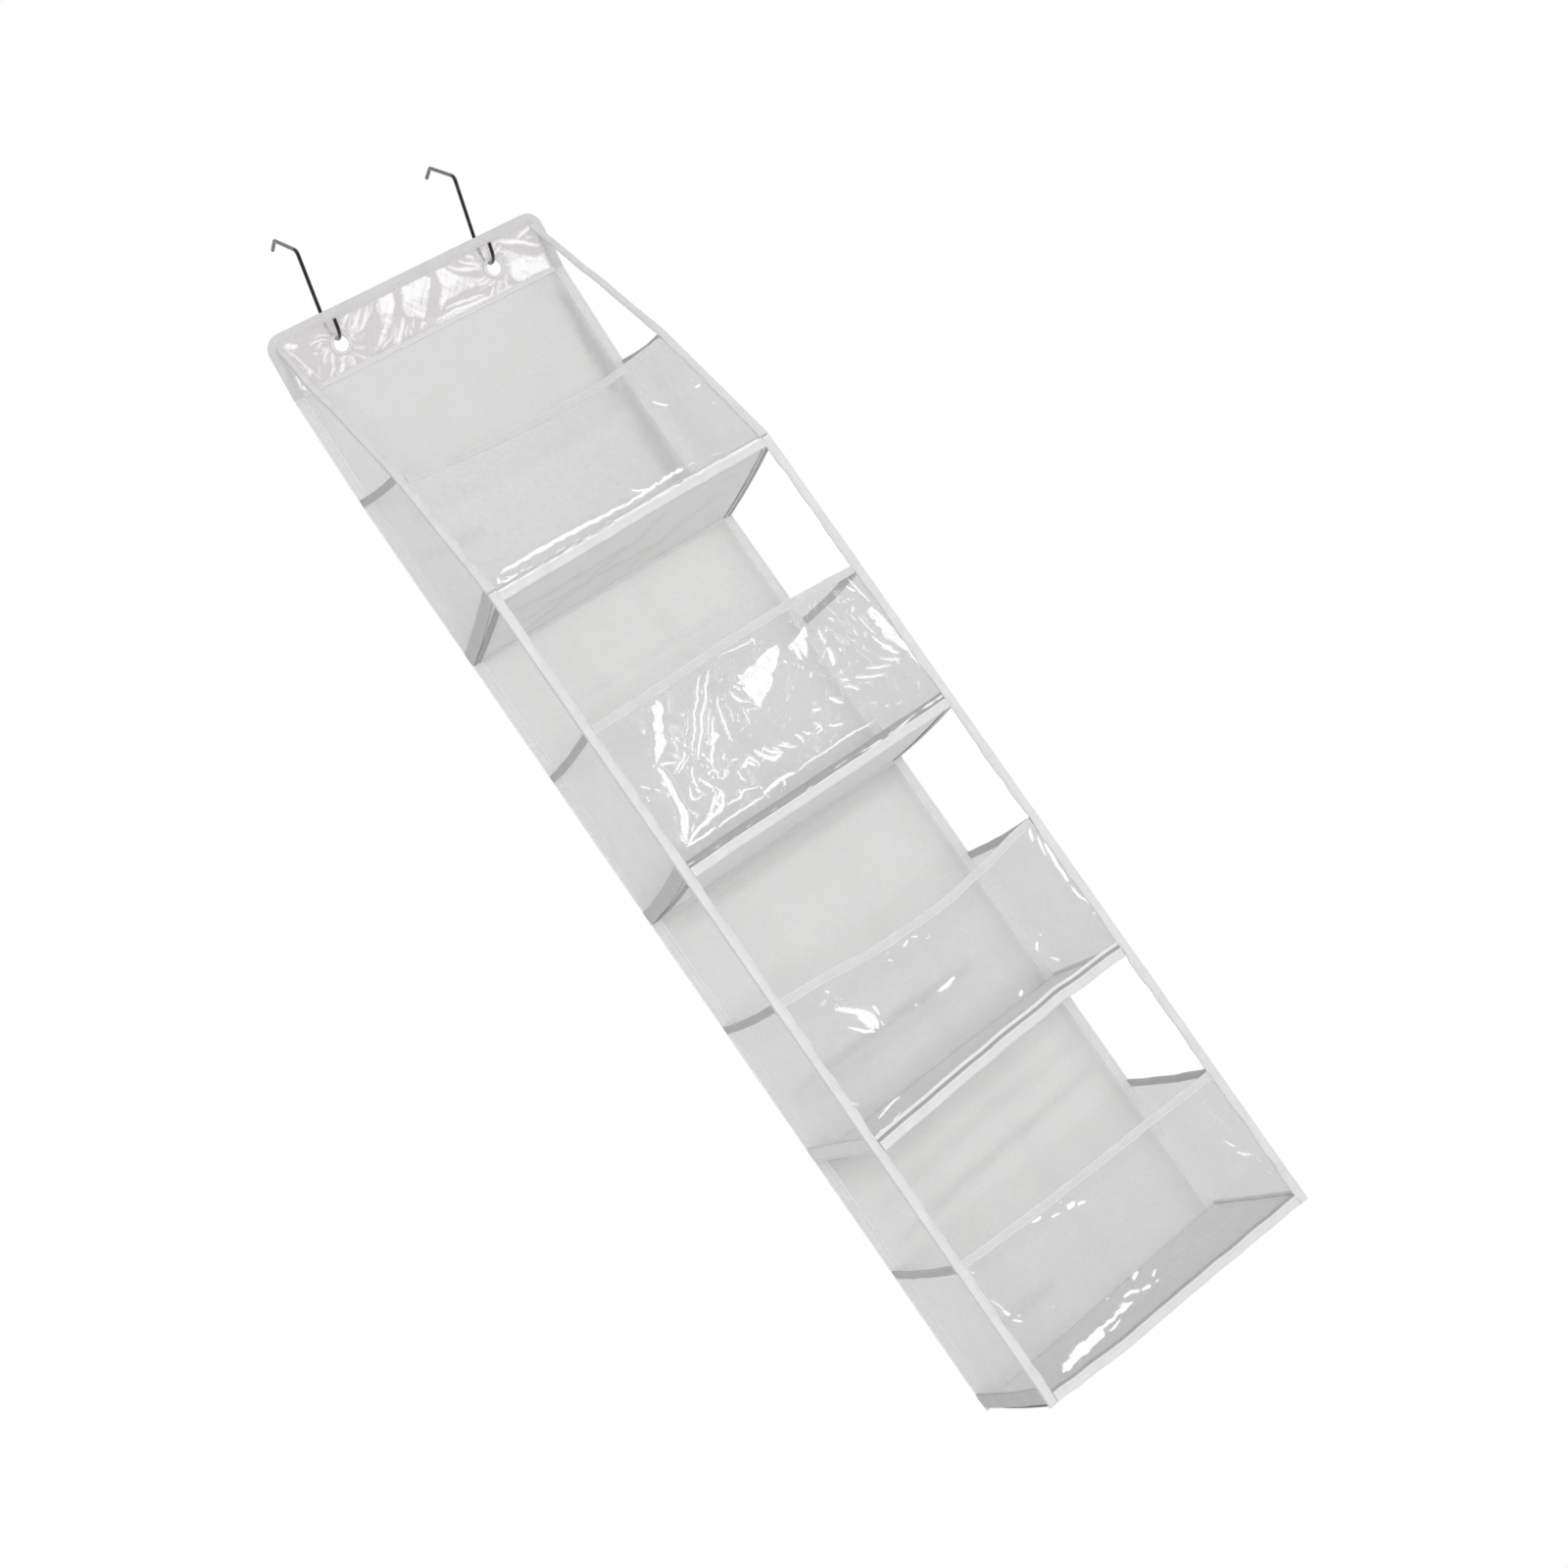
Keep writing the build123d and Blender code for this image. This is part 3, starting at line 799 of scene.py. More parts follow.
CLOTH = fabric_material("spunbond_cloth", base=0.79, spread=0.010)
FLOOR_CLOTH = fabric_material("spunbond_floor", base=0.80, spread=0.012)
TAPE = tape_material("ribbed_tape", base=0.74, edge=4.0)
STRAP_TAPE = tape_material("ribbed_strap_tape", base=0.77, relief=0.12)
# painted light: a lighter copy of the tape where more light falls: top rolls, pocket 3's line, most
# lower side tapes, under-floor edges
PAINTED_LIGHT_TAPE = tape_material("ribbed_tape_painted_light", base=0.86, rib=1.3)
BACK_TAPE = tape_material("ribbed_back_tape", base=0.84, edge=5.0)
HEADER_TAPE = tape_material("ribbed_head_tape", base=0.69, rib=1.8)
# painted shade: a darker copy of the tape for the side rims, which turn away from the front light
SHADED_SIDE_TAPE = tape_material("ribbed_tape_painted_shade", base=0.56, edge=4.0)
# painted shade: a darker copy of the tape for the left lower side tapes, which turn away from the
# light
SHADED_LOW_TAPE = tape_material("ribbed_tape_low_painted_shade", base=0.62)
# painted shadow: a dark tape for the shadow line above the front lower tapes and the shade under the
# floors' side edges
PAINTED_SHADOW_TAPE = tape_material("painted_shadow_tape", base=0.42, rib=1.2)
THREAD = thread_material("sewing_thread", base=0.82)
FILM = film_material("clear_vinyl", haze=0.05)
TOP_FILM = film_material("clear_vinyl_top_pocket", haze=0.10, tint=(0.999, 0.999, 1.0),
                         gloss=0.16, crinkle=0.1, sheen=0.45)
SIDE_FILM = film_material("clear_vinyl_side", haze=0.03)
HEADER_FILM = film_material("clear_vinyl_header", haze=0.42, tint=(0.97, 0.950, 0.957),
                            gloss=0.08, crinkle=0.6, crinkle_scale=0.05, pink=0.022,
                            white_range=(0.06, 0.8), white_gain=0.86)
PLASTIC = plastic_material("eyelet_plastic_moulded")
CHROME = chrome_material("plated_wire")
# painted highlight: a bright tape for the white lines along the lower tapes of pockets 1 and 2
GLEAM = tape_material("painted_highlight_tape", base=0.96, relief=0.2)
# painted shadow: a softer dark tape for the shadow line above pocket 1's lower tape
SOFT_SHADOW_TAPE = tape_material("soft_painted_shadow_tape", base=0.60, relief=0.2)


# ---------------------------------------------------------------- back panel
def tape_strip(name, path, across, width, low, high, body, replaces=(), seed=0, wave=0.0,
               seams=(2.0,), both_faces=False, material=TAPE):
    """A length of tape, low..high off the path; seams are distances from its edge."""
    normal = frames(path, across)[1]
    side = frames(path, across)[0]
    path = ripple(path, normal, seed, wave)
    path = ripple(path, side, seed + 5, wave * 0.8, 30, 90)
    seams = [-width / 2 + seam for seam in seams]
    run = run_lengths(path)
    # the tape puckers a little at its stitches
    pucker = 1 + 0.05 * waves_along(run, seed + 9, 6, 6, 14)
    section = np.repeat(tape_section(width, high, low, seams)[None], len(path), 0)
    middle = (high + low) / 2
    section[..., 1] = middle + (section[..., 1] - middle) * pucker[:, None]
    section[..., 0] *= (1 + 0.02 * waves_along(run, seed + 3, 4, 20, 60))[:, None]
    piece = Piece()
    piece.band(path, side, normal, section)
    for k, seam in enumerate(seams):
        face = high - 0.02 - crown(seam, width, high - low)
        stitches(piece, path, side, normal, seam, face, seed + k)
        if both_faces:
            stitches(piece, path, side, -normal, seam, -low - 0.02, seed + k + 50)
    made = piece.build(name, [material, THREAD, PAINTED_SHADOW_TAPE])
    place(made, body, replaces)
    return made


# Folds in the panel. Pocket, width, height, white (here painted shade on the cloth), width of the
# white: x,z above its floor
PANEL_FOLDS = """
1 8 2.6 .9 6.5: 149,306 145,270 142,235 137,172
1 10 2.2 .75 12: 150,176 143,110 134,36
1 6 1.3 .1: -120,262 -128,180 -122,110
1 5 1.5 .3 6: -150,118 -110,112 -70,112
4 8 2 .2 8: -152,206 -110,214 20,221 90,218 152,222
4 8 2.2 .34 7: -152,172 -60,181 60,184 152,190
4 7 1.2 .15 8: -140,236 -20,243 110,240
3 5.5 1.2 .3 5: -152,262 -40,264 60,263 152,264
3 5 1.8 .6 6: -155,64 -60,65 60,63 100,61
3 6 .4 .3 9: -155,52 -60,53 60,51
4 5 1.2 .3 8: -110,48 -30,46
2 5 1.4 .2: -150,222 0,229 150,219
2 6 1.3 .12: -60,120 -52,60 -58,20
3 6 1.2 .12: 60,120 66,40
4 6 1.2 .12: -90,120 -84,40
"""
# Shade on the panel under a pocket's floor: (strength, distance over which it fades)
FLOOR_SHADE = {1: (0.25, 9.0), 2: (0.6, 15.0), 3: (0.85, 24.0)}


def panel_folds():
    folds = []
    for points, pocket, *size in read_shapes(PANEL_FOLDS):
        floor_z = POCKETS[int(pocket)].floor_z
        folds.append(([(x, floor_z + z) for x, z in points], *size))
    return folds


def back_panel():
    line, run = resample(PANEL_LINE, 3.6)
    line = smooth_path(line, 3)
    normal = frames(line, (-1, 0, 0))[1]
    x, run = np.meshgrid(np.linspace(-PANEL_HIGH[0], PANEL_HIGH[0], 96), run)
    z = line[:, 2][:, None] + 0 * x
    # the relief dies out at the tapes and at the floor seams
    loose = (smoothstep(0, 14, PANEL_HIGH[0] - 9 - np.abs(x))
             * smoothstep(0, 20, z - PANEL_LOW[2] - 4) * smoothstep(0, 25, KINK[2] - 10 - z))
    for pocket in POCKETS.values():
        loose = loose * (1 - np.exp(-((z - pocket.floor_z + 2) / 9.0) ** 2))
    swell = 0.9 + 0.35 * Waves(5, 9, 160, 420)(x, z) + 0.06 * Waves(6, 8, 30, 90)(x, z)
    relief, painted_light = fold_relief(panel_folds(), x, z, 3)
    relief = (np.maximum(swell, 0.1) + relief) * loose
    # shade beside the right tape, near the top and under the floors
    shade = (0.32 * np.exp(-((x - 150) / 5.0) ** 2) + 0.2 * np.exp(-((x - 140) / 18.0) ** 2)
             + 0.14 * smoothstep(880, 1000, z))
    for number, (strength, reach) in FLOOR_SHADE.items():
        drop = POCKETS[number].floor_z - 6.0 - z
        across = 0.45 + 0.55 * smoothstep(90, -120, x) if number == 3 else 1.0
        fade = np.exp(-np.maximum(drop, 0) / reach)
        shade = shade + np.where(drop > -4, strength * across * fade, 0)
    painted_light = np.clip(painted_light * loose + shade, 0, 1)
    grid = points_of(x, line[:, None, 1], line[:, None, 2])
    grid = grid + normal[:, None, :] * (0.6 + relief[..., None])
    piece = Piece()
    piece.shell(grid[:, ::-1], 1.16, np.stack([x, run], -1)[:, ::-1], painted_light[:, ::-1])
    piece.painted_lights[0][:x.size] *= 0.2           # the rear face comes first and is hardly shaded
    place(piece.build("back_panel_cloth", [CLOTH], 60), "back", ["back_panel"],
          "nonwoven_fabric")


def panel_tapes():
    for side, side_name in SIDES:
        x = side * (TAPE_IN + EDGE) / 2
        line = [(x, 0, SIDE_TAPE_LOW[2]), (x, 0, LEAN_Z), (x, KINK[1], KINK[2] + 0.4)]
        tape_strip(f"panel_tape_{side_name}", smooth_path(resample(line, 3.0)[0], 2), (-1, 0, 0),
                   TAPE_WIDTH, 0.03, 2.0, "back", [f"panel_binding_{side_name}"],
                   seed=21 + side, seams=(2.0, 8.4), material=BACK_TAPE)
    low, high = box("panel_binding_bottom")
    z = (low[2] + high[2]) / 2
    tape_strip("panel_tape_bottom", resample([(low[0], 0, z), (high[0], 0, z)], 3.0)[0],
               (0, 0, 1), high[2] - low[2], 0.03, 2.0, "back", ["panel_binding_bottom"], seed=31)
    half = TAPE_IN - 0.6
    for number, pocket in POCKETS.items():
        z = pocket.floor_z - 3.6
        tape_strip(f"pocket_{number}_floor_seam", resample([(-half, 0, z), (half, 0, z)], 3.0)[0],
                   (0, 0, 1), 5.2, 1.25, 2.25, "back", seed=40 + number)


back_panel()
panel_tapes()


# ---------------------------------------------------------------- header
# Broad areas of painted highlight. Height, white, softness of the edge: u,v corners
HEADER_PATCHES = """
1.3 .95 2.6: -38,54 -21,54 -23,42 -30,32 -38,24 -50,17 -63,8 -58,15 -48,24 -42,33 -39,42
1.5 .95 2.6: -10,54 18,54 26,50 15,36 7,26 1,19 -4,13 -9,21 -18,25 -14,36 -11,44
1.4 .95 2.6: 36,54 44,52 50,42 60,33 72,28 80,26 74,21 50,23 34,21 18,18 28,34
1.3 .95 2.8: 106,44 118,36 132,27 150,19 152,5 112,5 108,14 111,24 109,34
.8 .85 1.4: -97,19 -92,18 -106,5 -113,4 -104,12
.7 .8 1.5: -152,54 -144,54 -134,48 -135,44 -144,46
"""
# Folds with painted highlights. Width, height, white, width of the white: u,v
HEADER_FOLDS = """
1.6 .5 .95 1.5: 4,5.5 30,5 80,4.6 112,4.8
1.5 .5 .7 1.2: -58,6 -50,11 -40,14
1.4 .5 .7 1.1: -30,6 -26,12 -20,17
1.4 .5 .9 1.6: -152,10 -150,5
1.4 .5 .8 1.3: -146,14 -144,5
1.3 .4 .6 1.1: -118,34 -112,40
1.3 .4 .5 1.2: -76,24 -66,30
2 .8 .8 1.4: -86,28 -77,34
2.4 1 .85 2: -80,37 -67,43 -58,53
2.4 1 .8 1.8: -72,33 -59,40 -49,53
2 .8 .8 1.8: -83,46 -72,54
1.8 .8 .6 1.3: -64,36 -50,44 -43,53
2.6 1 .9 2: -42,5 -30,14 -22,27
1.6 .6 .6 1.2: -64,9 -52,14 -44,20
1.5 .6 .7 1.2: -18,12 -12,20
1.5 .6 .7 1.2: -24,6 -20,12
1.5 .7 .8 1.5: -10,8 -6,13 -2,10
2 .9 .85 1.8: 48,53 58,42 78,35
2 .9 .8 1.6: 60,53 68,44 82,39
2 .8 .8 2: 70,54 79,47
1.5 .7 .85 1.5: 22,15 50,14 70,9
1.6 .7 .9 1.8: 6,9 40,9 74,5
1.6 .6 .8 1.4: 2,6 30,5 80,4
2.4 1 .9 2.4: 108,53 128,44 152,30
2 .9 .8 2: 152,52 142,50 130,45
1.5 .6 .5 1.2: 150,40 140,44
1.4 .6 .6 1.1: -148,50 -141,32 -134,16 -131,6
1.2 .5 .6 1: -120,30 -124,34
1.6 .6 .8 1.6: -136,22 -139,15
1.4 .6 .8 1.3: -112,14 -120,5
1.4 .6 .8 1.3: -151,22 -154,8
1.4 .6 .7 1.2: -142,10 -148,4
1.4 .6 .7 1.3: -90,15 -91,4
1.4 .6 .6 1.2: -84,14 -78,5
1.2 .5 .5 1: -126,20 -132,10
1.6 .7 .8 1.5: 84,14 74,5
1.4 .6 .7 1.3: 96,14 98,5
"""
# Narrow lines that stay clear inside the painted highlight, same columns
HEADER_CLEAR_LINES = """
1.6 -.8 .55 1.3: 20,52 9,38 1,28
1.4 -.6 .35 1: -30,50 -34,40 -44,28
2.4 -1 .8 2: 108,52 122,41 137,32 150,25
1.2 -.5 .5 1: 22,20 50,19 70,13
1.6 -.7 .6 1.1: 44,52 54,42 70,34
1.2 -.5 .5 .9: 10,12 40,12 62,8
1.6 -.6 .25 2: 125,22 150,12
"""


def eyelet_gathers():
    """Curved folds that spread from each eyelet."""
    rng = np.random.RandomState(8)
    folds = []
    for centre in (-EYE_X, EYE_X):
        for k in range(20):
            start = k * 2 * np.pi / 20 + rng.uniform(-0.15, 0.15)
            bend = rng.uniform(0.1, 0.5) * (1 if centre < 0 else -1)
            length = rng.uniform(7, 26)
            points = []
            for t in np.linspace(0, 1, 6):
                radius = 12.5 + length * t
                angle = start + bend * t
                points.append((centre + radius * math.cos(angle),
                               EYE_V + radius * math.sin(angle) * 0.9))
            folds.append((points, rng.uniform(1.4, 2.4),
                          rng.choice([-1, 1]) * rng.uniform(0.4, 1.0),
                          rng.uniform(0.3, 0.8), rng.uniform(0.8, 1.5)))
    return folds


def header_relief(u, v):
    """Height and painted highlight of the header film."""
    folds, white = fold_relief(read_shapes(HEADER_FOLDS) + eyelet_gathers(), u, v, 5, 0.5)
    bent_u = u + 0.8 * Waves(71, 5, 14, 40)(u, v)
    bent_v = v + 0.8 * Waves(72, 5, 14, 40)(v, u)
    patches, pale = patch_relief(read_shapes(HEADER_PATCHES), bent_u, bent_v)
    lines, clear = fold_relief(read_shapes(HEADER_CLEAR_LINES), u, v, 6, 0.4)
    grain = (Waves(73, 8, 5, 16)((u + 0.75 * v) * 0.9, (v - u) * 0.22)
             + 0.6 * Waves(74, 6, 12, 34)(u, v))
    streak = Waves(75, 9, 1.0, 3.0)((u - 0.95 * v) * 0.36, (v + u) * 0.035)
    pale = (pale * (0.55 + 0.45 * smoothstep(-1.2, 0.6, grain))
            * (0.74 + 0.26 * smoothstep(-0.9, 0.5, streak)))
    # folds die out at the tapes and at the eyelets
    loose = (smoothstep(0, 10, TAPE_IN - np.abs(u)) * smoothstep(0, 8, v - 1)
             * smoothstep(0, 8, 54 - v))
    shown = (smoothstep(0, 2, v - 3.6) * smoothstep(0, 2.5, 54.6 - v)
             * smoothstep(0, 3, TAPE_IN + 1 - np.abs(u)))
    for centre in (-EYE_X, EYE_X):
        distance = np.hypot(u - centre, v - EYE_V)
        loose = loose * smoothstep(11.5, 17, distance)
        shown = shown * smoothstep(10.8, 12.5, distance)
    relief = (0.6 * Waves(31, 8, 25, 80)(u, v) + folds + patches + lines
              + 0.3 * ridges(33, u, v, 5, 14, 30, 3.0)) * loose
    return np.clip(relief, -1.0, 3.0), np.maximum(white, pale) * (1 - clear) * shown


def header_film():
    inset = 1.3
    radius = HEADER_CORNER - inset
    outer, inner = FILM_HALF - 1.0, FILM_HALF - 17
    xs = np.concatenate([np.linspace(-outer, -inner, 14)[:-1], np.linspace(-inner, inner, 204),
                         np.linspace(inner, outer, 14)[1:]])
    into_corner = np.clip(np.abs(xs) - (FILM_HALF - 1 - radius), 0, radius)
    drop = radius - np.sqrt(np.maximum(radius ** 2 - into_corner ** 2, 0.0))
    top = HEADER_HEIGHT - inset - drop
    low = np.where(np.abs(xs) > TAPE_IN - 0.6, 1.3, 0.6)
    rows, columns = 50, len(xs)
    u = np.broadcast_to(xs, (rows, columns))
    v = low[None] + (top - low)[None] * np.linspace(0, 1, rows)[:, None]
    relief, white = header_relief(u, v)
    grid = header_point(u, v, 1.5) + HEADER_OUT * relief[..., None]
    # cut the eyelet holes and draw the points next to them onto a circle
    kept = np.ones(u.shape, bool)
    for centre in (-EYE_X, EYE_X):
        distance = np.hypot(u - centre, v - EYE_V)
        kept &= distance > 8.0
        near = (distance > 8.0) & (distance < 9.6)
        scale = np.where(near, 9.0 / np.maximum(distance, 1e-6), 1.0)
        grid[..., 0] = np.where(near, centre + (u - centre) * scale, grid[..., 0])
        grid = grid + np.where(near, (v - EYE_V) * (scale - 1), 0)[..., None] * HEADER_UP
    faces = grid_faces(rows, columns, True)
    faces = faces[kept.ravel()[faces].all(1)]
    used = np.unique(faces)
    new_number = -np.ones(kept.size, int)
    new_number[used] = np.arange(len(used))
    piece = Piece()
    piece.add(grid.reshape(-1, 3)[used], new_number[faces], 0,
              np.stack([u, v], -1).reshape(-1, 2)[used], white.ravel()[used])
    made = piece.build("header_vinyl", [HEADER_FILM], None)
    solid = made.modifiers.new("thick", "SOLIDIFY")
    solid.thickness = 0.0005
    solid.offset = 0.0
    solid.use_rim = True
    place(made, "back", ["header_film"], "clear_film")


def header_tape():
    """Tape up one side of the header, over the top and down the other side."""
    half = TAPE_WIDTH / 2
    x, radius = EDGE - half, HEADER_CORNER - half
    corner_v = HEADER_HEIGHT + 0.6 - half - radius
    points = [(-x, 0.4), (-x, corner_v)]
    for angle in np.radians(np.linspace(180, 90, 12)[1:]):
        points.append((-x + radius + radius * math.cos(angle),
                       corner_v + radius * math.sin(angle)))
    points += [(-u, v) for u, v in points[::-1]]
    path, run = resample(header_point(*np.array(points).T, 0.0), 2.4)
    along = directions(path)
    normal = np.broadcast_to(HEADER_OUT, along.shape)
    side = np.cross(normal, along)
    path = path + normal * (waves_along(run, 61, 5, 20, 60) * 0.15)[:, None]
    seam = half - 2.2
    piece = Piece()
    piece.band(path, side, normal, tape_section(TAPE_WIDTH, 2.6, 0.4, [-seam, seam]), run=run)
    stitches(piece, path, side, normal, -seam, 2.55, 62)       # along the inner edge
    place(piece.build("header_tape", [HEADER_TAPE, THREAD, PAINTED_SHADOW_TAPE]), "back", ["header_binding"])


def top_hem():
    xs = np.linspace(-TAPE_IN + 0.4, TAPE_IN - 0.4, 110)
    path = header_point(xs, 1.9 + 0.25 * waves_along(xs, 64, 6, 12, 60), 0)
    normal = np.broadcast_to(HEADER_OUT, path.shape)
    side = np.broadcast_to(HEADER_UP, path.shape)
    piece = Piece()
    piece.band(path, side, normal, tape_section(5.4, 2.75, 1.95, [0.6]), run=xs - xs[0])
    stitches(piece, path, side, normal, 0.6, 2.7, 65)
    place(piece.build("panel_top_hem", [CLOTH, THREAD]), "back", slot="nonwoven_fabric")


# Section of an eyelet ring: (radius, distance out from the film)
EYELET_PROFILE = [
    (8.0, -0.9), (8.25, -1.25), (8.8, -1.42), (10.9, -1.3), (11.4, -1.05), (11.5, -0.7),
    (11.3, -0.42), (9.2, -0.34), (9.2, 0.34), (11.3, 0.42), (11.5, 0.7), (11.4, 1.05),
    (10.9, 1.3), (9.9, 1.5), (8.8, 1.42), (8.25, 1.25), (8.0, 0.9)]


def eyelet(side, side_name):
    count, size = 72, len(EYELET_PROFILE)
    vertices, flat = [], []
    for k in range(count):
        angle = 2 * math.pi * k / count
        rib = 0.07 * math.cos(18 * angle)
        for radius, out in EYELET_PROFILE:
            lift = rib if 8.6 < radius < 11.2 and abs(out) > 1 else 0.0
            vertices.append(header_point(side * EYE_X + radius * math.cos(angle),
                                         EYE_V + radius * math.sin(angle),
                                         1.5 + out + math.copysign(lift, out)))
            flat.append((radius * angle, out))
    faces = []
    for k in range(count):
        here, there = k * size, (k + 1) % count * size
        for j in range(size):
            after = (j + 1) % size
            faces.append((there + j, there + after, here + after, here + j))
    piece = Piece()
    piece.add(vertices, faces, 0, flat)
    place(piece.build(f"eyelet_ring_{side_name}", [PLASTIC], 40), "back",
          [f"eyelet_{side_name}"], "eyelet_plastic")


header_film()
header_tape()
top_hem()
for side, side_name in SIDES:
    eyelet(side, side_name)
for _, side_name in SIDES:
    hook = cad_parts[f"hook_{side_name}"]
    hook.data.materials.clear()
    hook.data.materials.append(CHROME)


# ---------------------------------------------------------------- front corner straps
def corner_section():
    """L section: across the front, then a little way back along the side."""
    a0, a1, front, depth, flange = STRAP_IN, STRAP_OUT, 2.55, 2.6, 2.15
    section = [(a0, 0.18), (a0, front - 0.7), (a0 + 0.3, front - 0.3)]
    for x in np.linspace(a0 + 0.9, a1 - 1.4, 9):
        section.append((x, front - 0.1 - 0.32 * groove_at(x, a0 + 2.2)))
    section += [(a1 - 0.9, front - 0.12), (a1 - 0.3, front - 0.5), (a1 - 0.05, front - 1.3)]
    for y in np.linspace(-0.5, -depth + 1.0, 5):
        section.append((a1 - 0.05 - 0.25 * groove_at(y, 2.0 - depth), y))
    section += [(a1 - 0.15, -depth + 0.3), (a1 - 0.5, -depth),
                (a1 - flange + 0.3, -depth + 0.05), (a1 - flange + 0.05, -depth + 0.4)]
    section += [(a1 - flange + 0.05, y) for y in np.linspace(-depth + 1.2, 0.1, 5)]
    section += [(x, 0.12) for x in np.linspace(a1 - flange - 1.0, a0 + 0.8, 7)]
    return np.array(section)


def corner_strap(name, path, side, body, replaced, seed, inset=0.0):
    """Strap on a front corner; inset is how far it has come in at each point of the path."""
    along = directions(path)
    across = np.broadcast_to(np.array((float(side), 0, 0)), along.shape)
    normal = np.cross(along, np.array((-1.0, 0, 0)))
    run = run_lengths(path)
    inset = inset + 0 * run
    section = np.repeat(corner_section()[None], len(path), 0)
    if inset.any():                            # the strap comes in, and narrows
        k = inset[:, None]
        section[..., 0] = STRAP_OUT - (STRAP_OUT - section[..., 0]) * (1 - 0.025 * k) - k
    front_wave = (0.14 * waves_along(run, seed, 6, 7, 30))[:, None]
    section[..., 1] = np.where(section[..., 1] > 0.5, section[..., 1] + front_wave,
                               section[..., 1])
    inner = section[..., 0] < STRAP_IN + 3
    section[..., 0] += np.where(inner, (0.45 * waves_along(run, seed + 1, 5, 15, 80))[:, None], 0)
    piece = Piece()
    piece.band(path, across, normal, section)
    seam = STRAP_OUT - (STRAP_OUT - STRAP_IN - 2.2) * (1 - 0.025 * inset) - inset
    stitches(piece, path, across, normal, seam, 2.42, seed)
    made = piece.build(name, [STRAP_TAPE, THREAD, PAINTED_SHADOW_TAPE])
    place(made, body, [replaced])
    return made


for side, side_name in SIDES:
    low = STRAP_LOW[2] + rise(4, side * CORNER_X)
    path = resample([(0, -DEPTH, low), (0, -DEPTH, KNEE_Z - 1.2)], 3.2)[0]
    corner_strap(f"front_tape_{side_name}", path, side, "front_frame",
                 f"front_strap_{side_name}", 70 + side)
    zs = np.concatenate([[KNEE_Z], np.linspace(KNEE_Z + 20, BEND_Z, 8),
                         np.linspace(1080, TOP_Z, 7)])
    path = smooth_path(resample(points_of(0.0, top_front(zs)[0], zs), 3.2)[0], 2)
    strap = corner_strap(f"diagonal_tape_{side_name}", path, side, "back",
                         f"diagonal_strap_{side_name}", 76 + side, top_front(path[:, 2])[1])
    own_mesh(strap)


